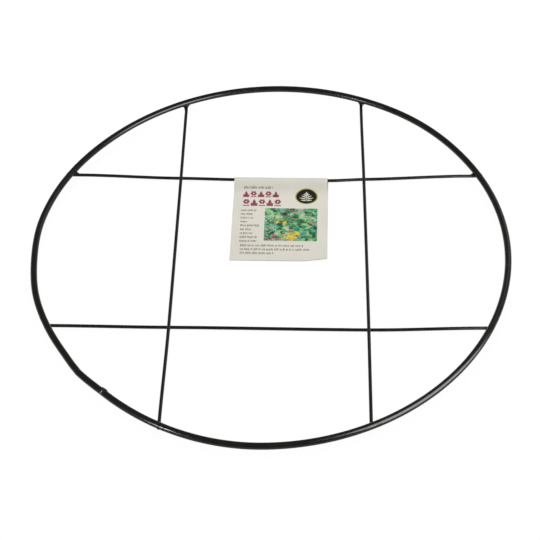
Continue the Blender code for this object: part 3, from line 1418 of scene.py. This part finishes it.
    def beads(self) -> Iterable[tuple[Bead, str]]:
        """Go through every bead.

        Returns:
            Pairs of a bead and the solid node that it stands for.
        """
        ends = {"left": ("front", "back"), "right": ("front", "back")}
        ends |= {"front": ("left", "right"), "back": ("left", "right")}
        for name, track in self.wires.items():
            for end, at_start in zip(ends[name], (True, False)):
                metal = self.metal[f"{name}_{end}"]
                yield self.saddle(f"bead_{name}_{end}", track, at_start, metal), f"weld_{name}_{end}"
        for row_name in ("front", "back"):
            row = self.wires[row_name]
            halves = {"left": (0.0, row.length / 2), "right": (row.length / 2, row.length)}
            for column_name, window in halves.items():
                name = f"{row_name}_{column_name}"
                bead = self.crossing(f"bead_crossing_{name}", row, self.wires[column_name], window)
                yield bead, f"weld_cross_{name}"
        yield self.closing("bead_hoop_closing"), "weld_hoop_joint"

    def build(self) -> None:
        """Make the hoop, the wires and the beads."""
        hoop = Bar("coated_hoop", self.hoop, self.rod, sides=self.hoop_sides)
        settle(hoop.name, hoop.mesh(), self.coat, Place(Body.FRAME, Slot.COAT, ("hoop",)))
        for name, track in self.wires.items():
            wire = Bar(f"coated_wire_{name}", track, self.wire)
            settle(wire.name, wire.mesh(), self.coat, Place(Body.FRAME, Slot.COAT, (f"wire_{name}",)))
        coats = {"weld_hoop_joint": self.joint_coat}
        coats |= dict.fromkeys(("weld_back_left", "weld_back_right"), self.web_coat)
        for bead, node in self.beads():
            coat = coats.get(node, self.bead_coat)
            settle(bead.name, bead.mesh(), coat, Place(Body.FRAME, Slot.WELD, (node,)))


@dataclass
class HangCard:
    """Printed card, one sheet folded round the back wire with both leaves to the front.

    Places on it are (across, ahead): across from its middle to the right, and ahead from the wire's axis
    towards its free edge.

    Args:
        stock: the card's finish.
        width: its width.
        length: from the wire's axis to its free edge.
        sheet: the sheet's thickness.
        fold: radius of the fold's middle line.
        leaf_gap: between the leaves where they lie together.
        closes: how far ahead the leaves meet.
        narrower: how far the upper leaf's right edge stays short of the lower one's.
        curl_lift: how far the front right corner curls up.
        curl_width: how far the curl reaches across.
        curl_length: how far it reaches back.
        curl_power: how suddenly it sets in, 1 for a straight slope.
        wave: half the height of the upper leaf's waves.
        wave_scale: how many waves to a metre, across and ahead.
        wave_slice: which slice of the noise they are read from.
        strips: how many strips a leaf has, across and ahead.
        fold_steps: how many steps the fold has.
        sharp_from: the least turn between two faces that shows as an edge.
        turn: takes places on the card to points of the row, from its joint.
    """

    stock: bpy.types.Material
    width: float = 0.0828
    length: float = 0.0935
    sheet: float = 0.0003
    fold: float = 0.00195
    leaf_gap: float = 0.0001
    closes: float = 0.016
    narrower: float = 0.0007
    curl_lift: float = 0.0038
    curl_width: float = 0.024
    curl_length: float = 0.030
    curl_power: float = 1.5
    wave: float = 0.00016
    wave_scale: Spot = (42.0, 30.0)
    wave_slice: float = 0.7
    strips: int = 64
    fold_steps: int = 20
    sharp_from: float = radians(40)
    turn: Matrix = field(init=False)

    def __post_init__(self) -> None:
        """Take the card's place from its joint."""
        along = -Vector(HINGE["axis"])
        turned = Matrix.Rotation(atan2(along.y, along.x), 4, "Z")
        self.turn = Matrix.Translation(Vector(HINGE["pos_m"])) @ turned

    def out(self, across: float, ahead: float, up: float) -> Vector:
        """Turn a place on the card into a point of the row."""
        return self.turn @ Vector((across, -ahead, up))

    def curl(self, across: float, ahead: float) -> float:
        """How far the front right corner curls up at a place.

        Args:
            across: the place's first coordinate.
            ahead: its second coordinate.

        Returns:
            The lift.
        """
        aside = (self.width / 2 - across) / self.curl_width
        share = 1 - aside - (self.length - ahead) / self.curl_length
        return self.curl_lift * max(share, 0.0) ** self.curl_power

    def ripple(self, across: float, ahead: float) -> float:
        """How far the upper leaf stands off in soft waves, none where it is closed or ends.

        Args:
            across: the place's first coordinate.
            ahead: its second coordinate.

        Returns:
            The height of the wave.
        """
        grown = min(max((ahead - self.closes) / self.closes, 0.0), 1.0)
        settled = min((self.length - ahead) / self.closes, 1.0)
        spot = Vector((across * self.wave_scale[0], ahead * self.wave_scale[1], self.wave_slice))
        return self.wave * grown * settled * (1 + noise.noise(spot))

    def leaf_height(self, across: float, ahead: float) -> float:
        """Height of the upper leaf's middle line over the wire's axis.

        Args:
            across: the place's first coordinate.
            ahead: its second coordinate.

        Returns:
            The height.
        """
        flat = -self.fold + self.sheet + self.leaf_gap
        height = flat
        if ahead < self.closes:
            share = (1 + cos(pi * ahead / self.closes)) / 2
            height = flat + (self.fold - flat) * share
        return height + self.curl(across, ahead) + self.ripple(across, ahead)

    def on_top(self, across: float, ahead: float, clear: float) -> Vector:
        """Point just over the upper leaf's printed side."""
        return self.out(across, ahead, self.leaf_height(across, ahead) + self.sheet / 2 + clear)

    def section(self) -> list[Sizes]:
        """Middle line of the folded sheet, from the upper leaf's free edge to the lower one's.

        Returns:
            Points as (ahead, up from the axis, share of the way from the upper leaf to the lower).
        """
        steps = self.strips
        line = [(self.length * (1 - index / steps), 0.0, 0.0) for index in range(steps)]
        for index in range(self.fold_steps + 1):
            turn = pi * index / self.fold_steps
            line.append((-self.fold * sin(turn), self.fold * cos(turn), index / self.fold_steps))
        line += [(self.length * index / steps, -self.fold, 1.0) for index in range(1, steps + 1)]
        return line

    def folded_sheet(self) -> bpy.types.Mesh:
        """Build the sheet with its thickness.

        Returns:
            The mesh.
        """
        work = bmesh.new()
        rows = []
        for column in range(self.strips + 1):
            row = []
            for index, (ahead, up, under) in enumerate(self.section()):
                right = self.width - self.narrower * (1 - under)
                across = -self.width / 2 + right * column / self.strips
                if index < self.strips:
                    up = self.leaf_height(across, ahead)
                elif under == 1.0:
                    up += self.curl(across, ahead)
                row.append(work.verts.new(self.out(across, ahead, up)))
            rows.append(row)
        for row, following in zip(rows, rows[1:]):
            for index in range(len(row) - 1):
                work.faces.new((row[index], following[index], following[index + 1], row[index + 1]))
        bare = Workpiece("folded_card", work)
        bare.put_on("SOLIDIFY", thickness=self.sheet, offset=0.0, use_even_offset=True)
        mesh = bare.finished()
        mesh.set_sharp_from_angle(angle=self.sharp_from)
        return mesh

    def build(self) -> None:
        """Make the folded sheet."""
        settle("folded_card", self.folded_sheet(), self.stock, Place(Body.CARD, Slot.CARD, ("card",)))


@dataclass
class Print:
    """One ink's shapes on the card, as thin skins that follow its upper leaf.

    Args:
        name: the piece's name.
        card: the card that it is printed on.
        ink: its finish.
        clear: how far it lies over the card.
        row_step: how far apart the rows of a block are, and half of how far apart its columns are.
        ring_sides: how many sides a ring has.
        leaf_steps: how many steps a leaf has along it.
        leaf_power: how near its stalk a leaf is widest, 1 for in its middle.
        leaf_rib: how much wider a leaf is to each side for its rib.
        joins: corners of a shape that are closer than this become one.
        work: the shapes so far.
    """

    name: str
    card: HangCard
    ink: bpy.types.Material
    clear: float = 0.00002
    row_step: float = 0.0008
    ring_sides: int = 96
    leaf_steps: int = 10
    leaf_power: float = 0.8
    leaf_rib: float = 0.00004
    joins: float = 0.0000001
    work: bmesh.types.BMesh = field(default_factory=bmesh.new)

    def skin(self, rows: Sequence[Sequence[Spot]]) -> None:
        """Add a skin between rows of places.

        Args:
            rows: rows of as many places each.
        """
        placed = [
            [self.work.verts.new(self.card.on_top(*place, self.clear)) for place in row] for row in rows
        ]
        for row, following in zip(placed, placed[1:]):
            for index in range(len(row) - 1):
                corners = (row[index], row[index + 1], following[index + 1], following[index])
                self.work.faces.new(corners)

    def block(self, left: float, right: float, top: float, bottom: float) -> None:
        """Add an upright block.

        Args:
            left: its left edge.
            right: its right edge.
            top: its edge towards the fold.
            bottom: its edge towards the free edge.
        """
        rows = max(1, round((bottom - top) / self.row_step))
        columns = max(1, round((right - left) / self.row_step / 2))
        across = [left + (right - left) * index / columns for index in range(columns + 1)]
        ahead = [top + (bottom - top) * index / rows for index in range(rows + 1)]
        self.skin([[(place, row) for place in across] for row in ahead])

    def ring(
        self,
        middle: Spot,
        inner: float,
        outer: float,
        lobes: int = 0,
        lobe: float = 0.0,
        stretch: Spot = (1.0, 1.0),
    ) -> None:
        """Add a ring, or a disc where the inner radius is nothing.

        Args:
            middle: its middle.
            inner: its inner radius.
            outer: its outer radius.
            lobes: how many scallops its outer edge has.
            lobe: how far they stand out.
            stretch: how far it is widened across and ahead.
        """
        bands = max(2, round((outer - inner) / self.row_step))
        rows = []
        for index in range(self.ring_sides + 1):
            turn = TURN * index / self.ring_sides
            edge = outer + lobe * abs(cos(lobes * turn / 2))
            row = []
            for band in range(bands + 1):
                radius = inner + (edge - inner) * band / bands
                place = (radius * cos(turn) * stretch[0], radius * sin(turn) * stretch[1])
                row.append((middle[0] + place[0], middle[1] + place[1]))
            rows.append(row)
        self.skin(rows)

    def leaf(self, base: Spot, turn: float, length: float, width: float) -> None:
        """Add a pointed leaf.

        Args:
            base: where its stalk begins.
            turn: the way it points, from the right, anticlockwise as the card is read.
            length: its length.
            width: its greatest width.
        """
        way = (cos(turn), -sin(turn))
        aside = (sin(turn), cos(turn))
        rows = []
        for index in range(self.leaf_steps + 1):
            share = index / self.leaf_steps
            half = width / 2 * sin(pi * share ** self.leaf_power) + self.leaf_rib
            rib = (base[0] + way[0] * length * share, base[1] + way[1] * length * share)
            rows.append([
                (rib[0] + aside[0] * side * half, rib[1] + aside[1] * side * half) for side in (-1, 0, 1)
            ])
        self.skin(rows)

    def finish(self) -> None:
        """Put the ink's shapes in the scene."""
        bmesh.ops.remove_doubles(self.work, verts=self.work.verts, dist=self.joins)
        mesh = bpy.data.meshes.new(self.name)
        self.work.to_mesh(mesh)
        self.work.free()
        mesh.shade_smooth()
        settle(self.name, mesh, self.ink, Place(Body.CARD, Slot.CARD))


@dataclass(frozen=True)
class Motif:
    """Small plant shape on a ground line. It is drawn between four edges: left, right, top and bottom.

    Args:
        line_in: how far the line's ends stay inside, as a share of the width.
        line_tall: the line's thickness, as a share of the height.
    """

    line_in: float = 0.02
    line_tall: float = 0.15

    def ground_line(self, ink: Print, edges: Edges) -> None:
        """Draw the ground line.

        Args:
            ink: the ink's shapes.
            edges: the motif's edges.
        """
        left, right, top, bottom = edges
        inset = self.line_in * (right - left)
        ink.block(left + inset, right - inset, bottom - self.line_tall * (bottom - top), bottom)


@dataclass(frozen=True)
class Bud(Motif):
    """Bud between two leaves.

    Args:
        foot: how far its foot stands over the lower edge, as a share of the height.
        bud: the bud's length as a share of the height, and its width as one of the width.
        leaf: a leaf's length as a share of the width, and its width as one of the height.
        leaf_turns: the ways that the two leaves point.
    """

    foot: float = 0.06
    bud: Spot = (0.94, 0.52)
    leaf: Spot = (0.72, 0.34)
    leaf_turns: Spot = (radians(42), radians(138))

    def draw(self, ink: Print, edges: Edges) -> None:
        """Draw the bud.

        Args:
            ink: the ink's shapes.
            edges: the motif's edges.
        """
        left, right, top, bottom = edges
        width, height = right - left, bottom - top
        foot = ((left + right) / 2, bottom - self.foot * height)
        ink.leaf(foot, pi / 2, height * self.bud[0], width * self.bud[1])
        for turn in self.leaf_turns:
            ink.leaf(foot, turn, width * self.leaf[0], height * self.leaf[1])
        self.ground_line(ink, edges)


@dataclass(frozen=True)
class Rosette(Motif):
    """Round flower with an open eye.

    Args:
        line_tall: the line's thickness, as a share of the height.
        tall: the flower's height, as a share of the whole height.
        eye: the eye's radius, as a share of the flower's.
        notch: the radius between two petals, as a share of the flower's.
        petals: how many petals it has.
        petal: how far they stand out, as a share of the flower's radius.
    """

    line_tall: float = 0.14
    tall: float = 0.82
    eye: float = 0.24
    notch: float = 0.76
    petals: int = 6
    petal: float = 0.26

    def draw(self, ink: Print, edges: Edges) -> None:
        """Draw the flower.

        Args:
            ink: the ink's shapes.
            edges: the motif's edges.
        """
        left, right, top, bottom = edges
        reach = min(right - left, (bottom - top) * self.tall) / 2
        middle = ((left + right) / 2, top + reach)
        ink.ring(middle, reach * self.eye, reach * self.notch, self.petals, reach * self.petal)
        self.ground_line(ink, edges)


@dataclass(frozen=True)
class MarkLine:
    """Line of small upright marks in groups, as a layout's filler is drawn. Sizes are in millimetres.

    Args:
        in_group: the fewest and the most marks in a group.
        widths: a mark's least and greatest width.
        half: half of a plain mark's height.
        rises: what a mark may be taller by, each as likely.
        drops: what a mark may be deeper by, each as likely.
        gap: between two marks.
        group_gap: what is added to it between two groups.
    """

    in_group: tuple[int, int] = (2, 6)
    widths: Spot = (0.45, 0.85)
    half: float = 0.85
    rises: tuple[float, ...] = (0.0, 0.0, 0.55)
    drops: tuple[float, ...] = (0.0, 0.0, 0.0, 0.5)
    gap: float = 0.34
    group_gap: float = 0.75

    def draw(self, ink: Print, left: float, ahead: float, reach: float, luck: random.Random) -> None:
        """Draw one line.

        Args:
            ink: the ink's shapes.
            left: where the line begins.
            ahead: the line's middle.
            reach: its length.
            luck: the source of its unevenness.
        """
        place = left
        while place < left + reach:
            for _ in range(luck.randint(*self.in_group)):
                width = luck.uniform(*self.widths)
                if place + width > left + reach:
                    return
                tall = luck.choice(self.rises)
                deep = luck.choice(self.drops)
                top, bottom = ahead - self.half - tall, ahead + self.half + deep
                ink.block(place * MM, (place + width) * MM, top * MM, bottom * MM)
                place += width + self.gap
            place += self.group_gap


@dataclass(frozen=True)
class Sprig:
    """Stalk with pairs of leaves and one leaf at its tip. Sizes are in millimetres, slopes in degrees.

    Args:
        foot: from the badge's middle down to the stalk's foot.
        stalk: the stalk's length and width.
        pairs: each pair's length and slope, from the foot up.
        first: from the foot to the first pair.
        apart: from one pair to the next.
        leaf_width: width of the pairs' leaves.
        tip_from: from the foot to the leaf at the tip.
        tip: that leaf's length and width.
    """

    foot: float = 5.2
    stalk: Spot = (10.0, 0.5)
    pairs: tuple[Spot, ...] = ((5.2, 6.0), (6.6, 14.0), (5.4, 28.0), (3.8, 42.0), (2.4, 52.0))
    first: float = 0.4
    apart: float = 1.8
    leaf_width: float = 1.3
    tip_from: float = 8.0
    tip: Spot = (3.0, 1.2)

    def draw(self, ink: Print, across: float, ahead: float) -> None:
        """Draw the sprig round a middle.

        Args:
            ink: the ink's shapes.
            across: the middle's first coordinate, in metres.
            ahead: its second coordinate.
        """
        foot = ahead + self.foot * MM
        ink.leaf((across, foot), pi / 2, self.stalk[0] * MM, self.stalk[1] * MM)
        for index, (length, slope) in enumerate(self.pairs):
            place = (across, foot - (self.first + self.apart * index) * MM)
            for turn in (radians(slope), radians(180 - slope)):
                ink.leaf(place, turn, length * MM, self.leaf_width * MM)
        ink.leaf((across, foot - self.tip_from * MM), pi / 2, self.tip[0] * MM, self.tip[1] * MM)


@dataclass
class CardLayout:
    """What is printed on the card, all of it plain shapes of its own.

    Sizes are in millimetres, places as (across, ahead) on the card.

    Args:
        card: the card.
        heading: the heading's ink.
        lines: the small lines' ink.
        badge: the badge's ink.
        rim: the badge's rim.
        motif: the sprig on the badge.
        heading_rows: the edges of the heading's two rows: left, right, top and bottom.
        heading_motifs: how many motifs a row has.
        heading_gap: between two motifs.
        motifs: the motifs that take turns.
        marks: how a small line is drawn.
        lead_line: the line over the heading: where it begins, its middle and its length.
        column_left: where the lines beside the picture begin.
        column_first: the first one's middle.
        column_pitch: from one to the next.
        column_reaches: their lengths.
        foot_left: where the lines under the picture begin.
        foot_first: the first one's middle.
        foot_pitch: from one to the next.
        foot_reaches: their lengths.
        picture: the picture's edges: left, right, top and bottom.
        picture_step: how far apart the rows of its skin are, in metres.
        badge_middle: the badge's middle.
        badge_radius: its radius inside the rim.
        badge_rim: the rim's width.
        badge_stretch: how far it is widened across and ahead.
        sprig: what is drawn on it.
        sprig_clear: how far the sprig lies over the card, in metres, so that it clears the badge.
        seed: starts the small lines' unevenness.
    """

    card: HangCard
    heading: bpy.types.Material
    lines: bpy.types.Material
    badge: bpy.types.Material
    rim: bpy.types.Material
    motif: bpy.types.Material
    heading_rows: tuple[Edges, ...] = (
        (-33.2, -1.6, 12.7, 19.8),
        (-32.9, 0.5, 22.3, 30.5),
    )
    heading_motifs: int = 5
    heading_gap: float = 0.9
    motifs: tuple[Bud, Rosette] = (Bud(), Rosette())
    marks: MarkLine = MarkLine()
    lead_line: Sizes = (-32.6, 9.4, 25.4)
    column_left: float = -34.0
    column_first: float = 35.9
    column_pitch: float = 4.5
    column_reaches: tuple[float, ...] = (13.3, 10.1, 11.4, 6.4, 17.4, 9.5, 11.7, 15.5, 16.2)
    foot_left: float = -33.0
    foot_first: float = 77.0
    foot_pitch: float = 4.3
    foot_reaches: tuple[float, ...] = (53.7, 59.0, 29.0)
    picture: Edges = (-13.2, 32.4, 33.1, 71.2)
    picture_step: float = 0.0015
    badge_middle: Spot = (22.5, 18.6)
    badge_radius: float = 8.6
    badge_rim: float = 0.9
    badge_stretch: Spot = (1.05, 0.96)
    sprig: Sprig = Sprig()
    sprig_clear: float = 0.00004
    seed: int = 11

    def headings(self) -> None:
        """Print two bands of buds and rosettes in the heading's ink."""
        ink = Print("card_heading", self.card, self.heading)
        for row, (left, right, top, bottom) in enumerate(self.heading_rows):
            pitch = (right - left + self.heading_gap) / self.heading_motifs
            for index in range(self.heading_motifs):
                start = left + pitch * index
                edges = (start, start + pitch - self.heading_gap, top, bottom)
                motif = self.motifs[(row + index) % len(self.motifs)]
                motif.draw(ink, tuple(edge * MM for edge in edges))
        ink.finish()

    def small_lines(self) -> None:
        """Print the line over the heading, the column beside the picture and the lines under it."""
        luck = random.Random(self.seed)
        ink = Print("card_small_lines", self.card, self.lines)
        self.marks.draw(ink, *self.lead_line, luck)
        for index, reach in enumerate(self.column_reaches):
            ahead = self.column_first + index * self.column_pitch
            self.marks.draw(ink, self.column_left, ahead, reach, luck)
        for index, reach in enumerate(self.foot_reaches):
            ahead = self.foot_first + index * self.foot_pitch
            self.marks.draw(ink, self.foot_left, ahead, reach, luck)
        ink.finish()

    def badge_marks(self) -> None:
        """Print the badge: a dark disc with a rim and a sprig of leaves."""
        across, ahead = (value * MM for value in self.badge_middle)
        disc = Print("card_badge", self.card, self.badge)
        disc.ring((across, ahead), 0.0, self.badge_radius * MM, stretch=self.badge_stretch)
        disc.finish()
        rim = Print("card_badge_rim", self.card, self.rim)
        outer = (self.badge_radius + self.badge_rim) * MM
        rim.ring((across, ahead), self.badge_radius * MM, outer, stretch=self.badge_stretch)
        rim.finish()
        sprig = Print("card_badge_sprig", self.card, self.motif, clear=self.sprig_clear)
        self.sprig.draw(sprig, across, ahead)
        sprig.finish()

    def planting(self) -> None:
        """Print the picture of a planting."""
        left, right, top, bottom = (value * MM for value in self.picture)
        corner = self.card.out(left, bottom, 0.0)
        finish = PlantingFinish((corner.x, corner.y), right - left)
        panel = Print("card_picture", self.card, finish.material(), row_step=self.picture_step)
        panel.block(left, right, top, bottom)
        panel.finish()

    def build(self) -> None:
        """Print everything on the card."""
        self.headings()
        self.small_lines()
        self.badge_marks()
        self.planting()


@dataclass(frozen=True)
class Lamp:
    """Soft rectangular light that faces the frame's middle, or a point over it.

    Angles are in degrees. A bearing is anticlockwise from +X, seen from above.

    Args:
        name: its name.
        shows: what it does.
        bearing: the way from the frame's middle to it.
        elevation: how high it hangs, seen from the frame's middle.
        away: how far it is from the frame's middle.
        size: its width and height.
        power: its power in watts.
        aim: how far over the frame the point is that it faces.
    """

    name: str
    shows: Shows
    bearing: float
    elevation: float
    away: float
    size: Spot
    power: float
    aim: float = 0.0

    def hang(self) -> None:
        """Hang the light."""
        turn, height = radians(self.bearing), radians(self.elevation)
        where = Vector((cos(turn) * cos(height), sin(turn) * cos(height), sin(height))) * self.away
        data = bpy.data.lights.new(self.name, "AREA")
        data.shape = "RECTANGLE"
        data.size, data.size_y = self.size
        data.energy = self.power
        light = bpy.data.objects.new(self.name, data)
        light.visible_diffuse = self.shows is Shows.SHADE
        light.visible_glossy = self.shows is Shows.GLEAM
        light.visible_camera = False
        turned = (where - UP * self.aim).to_track_quat("Z", "Y").to_matrix().to_4x4()
        light.matrix_world = Matrix.Translation(where) @ turned
        bpy.context.scene.collection.objects.link(light)


@dataclass
class Studio:
    """Plain pale floor, soft lights and the camera.

    Angles are in degrees, lengths in metres, and the lens and sensor in millimetres. A bearing is
    anticlockwise from +X, seen from above.

    Args:
        target: the point that the camera looks at.
        distance: from the camera to that point.
        bearing: the way the camera looks, seen from above.
        elevation: how steeply it looks down.
        roll: how far it is turned about its own axis.
        lens: its focal length.
        sensor: its sensor's width.
        clip: the nearest and the farthest that it sees.
        room_light: how bright the room is all round.
        floor_size: the floor's length and width.
        floor_drop: how far it lies under the frame.
        floor_glow: how far the camera sees it as plain white.
        floor_white: how bright that white is.
        floor_tone: the floor's own colour.
        lamps: the lights.
    """

    target: Sizes = (0.0008, -0.0230, 0.0090)
    distance: float = 1.2766
    bearing: float = 92.52
    elevation: float = 48.91
    roll: float = -1.60
    lens: float = 102.14
    sensor: float = 36.0
    clip: Spot = (0.01, 100.0)
    room_light: float = 0.20
    floor_size: float = 8.0
    floor_drop: float = 0.0004
    floor_glow: float = 0.90
    floor_white: float = 1.045
    floor_tone: Colour = (0.82, 0.82, 0.82)
    lamps: tuple[Lamp, ...] = (
        Lamp("soft_sky", Shows.SHADE, 0.0, 90.0, 2.0, (4.0, 4.0), 50.5),
        Lamp("soft_key", Shows.SHADE, 80.0, 32.0, 1.2, (0.5, 0.5), 4.6),
        Lamp("tall_panel", Shows.GLEAM, -32.5, 34.2, 0.466, (0.38, 0.42), 3.6, aim=0.152),
        Lamp("side_panel", Shows.GLEAM, 45.0, 32.5, 0.84, (0.35, 0.5), 0.39),
        Lamp("slim_lamp", Shows.GLEAM, -130.0, 22.4, 0.707, (0.055, 0.26), 1.26),
    )

    def camera(self) -> None:
        """Stand the camera where the photograph was taken from."""
        heading, height = radians(self.bearing), radians(self.elevation)
        forward = Vector((cos(heading) * cos(height), sin(heading) * cos(height), -sin(height)))
        data = bpy.data.cameras.new("camera")
        data.lens = self.lens
        data.sensor_width = self.sensor
        data.clip_start, data.clip_end = self.clip
        eye = bpy.data.objects.new("camera", data)
        turned = forward.to_track_quat("-Z", "Y").to_matrix().to_4x4()
        rolled = Matrix.Rotation(radians(self.roll), 4, "Z")
        eye.matrix_world = Matrix.Translation(Vector(self.target) - forward * self.distance) @ turned @ rolled
        bpy.context.scene.collection.objects.link(eye)
        bpy.context.scene.camera = eye

    def world(self) -> None:
        """Light the room evenly, and show white behind everything."""
        world = bpy.data.worlds.new("room")
        world.use_nodes = True
        nodes, links = world.node_tree.nodes, world.node_tree.links
        room = nodes["Background"]
        room.inputs["Color"].default_value = WHITE
        room.inputs["Strength"].default_value = self.room_light
        white = nodes.new("ShaderNodeBackground")
        white.inputs["Color"].default_value = WHITE
        path = nodes.new("ShaderNodeLightPath")
        chosen = nodes.new("ShaderNodeMixShader")
        links.new(path.outputs["Is Camera Ray"], chosen.inputs[0])
        links.new(room.outputs[0], chosen.inputs[1])
        links.new(white.outputs[0], chosen.inputs[2])
        links.new(chosen.outputs[0], nodes["World Output"].inputs["Surface"])
        bpy.context.scene.world = world

    def floor(self) -> None:
        """Lay the floor: white to the camera, with the frame's shadow faint on it."""
        bench = NodeBench("studio_floor")
        bench.surface(self.floor_tone, roughness=1.0, specular=0.0)
        glow = bench.add("ShaderNodeEmission")
        glow.inputs["Strength"].default_value = self.floor_white
        path = bench.add("ShaderNodeLightPath")
        share = bench.math("MULTIPLY", path.outputs["Is Camera Ray"], self.floor_glow)
        chosen = bench.add("ShaderNodeMixShader")
        bench.feed(chosen.inputs[0], share)
        bench.feed(chosen.inputs[1], bench.shader.outputs[0])
        bench.feed(chosen.inputs[2], glow.outputs[0])
        bench.feed(bench.output.inputs["Surface"], chosen.outputs[0])
        work = bmesh.new()
        bmesh.ops.create_grid(work, x_segments=1, y_segments=1, size=self.floor_size / 2)
        mesh = mesh_from("studio_floor", work, smooth=False)
        mesh.materials.append(bench.material)
        floor = bpy.data.objects.new("studio_floor", mesh)
        floor.location.z = -self.floor_drop
        bpy.context.scene.collection.objects.link(floor)
        floor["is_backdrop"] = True

    def build(self) -> None:
        """Set up the studio."""
        self.camera()
        self.world()
        self.floor()
        for lamp in self.lamps:
            lamp.hang()
        bpy.context.scene.view_settings.view_transform = "Standard"


def write_sizes() -> None:
    """Work out the solids' box and the dressed frame's box; nothing is kept or written."""
    boxes = {"cad": CAD_BOX, "visual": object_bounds()}
    {name: [list(corner) for corner in box] for name, box in boxes.items()}


def main() -> None:
    """Dress the frame and set up its studio."""
    logging.basicConfig(level=logging.INFO, format="%(name)s: %(message)s")
    Studio().build()
    low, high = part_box("weld_hoop_joint")
    joint = (low + high) / 2
    coat = CoatFinish("black_coat", joint)
    bead_coat = CoatFinish("black_coat_on_beads", joint, specular=0.35, peel=0.000004)
    web_coat = CoatFinish(
        "black_coat_on_webs", joint, smoothest=0.30, roughest=0.42, specular=0.12, peel=0.000004
    )
    joint_coat = CoatFinish("black_coat_on_joint", joint, smoothest=0.10, roughest=0.15, specular=1.0)
    Steelwork(coat.material(), bead_coat.material(), web_coat.material(), joint_coat.material()).build()
    pivot, axis = HINGE["pos_m"], HINGE["axis"]
    card = HangCard(PaperFinish((pivot[0], pivot[1]), axis[1] / axis[0]).material())
    card.build()
    CardLayout(
        card,
        heading=InkFinish("maroon_ink", (0.290, 0.052, 0.104)).material(),
        lines=InkFinish("grey_ink", (0.230, 0.215, 0.160)).material(),
        badge=InkFinish("night_ink", (0.012, 0.010, 0.012), thin=0.02).material(),
        rim=InkFinish("lime_ink", (0.430, 0.460, 0.050)).material(),
        motif=InkFinish("cream_ink", (0.620, 0.620, 0.520)).material(),
    ).build()
    write_sizes()


if __name__ == "__main__":
    main()
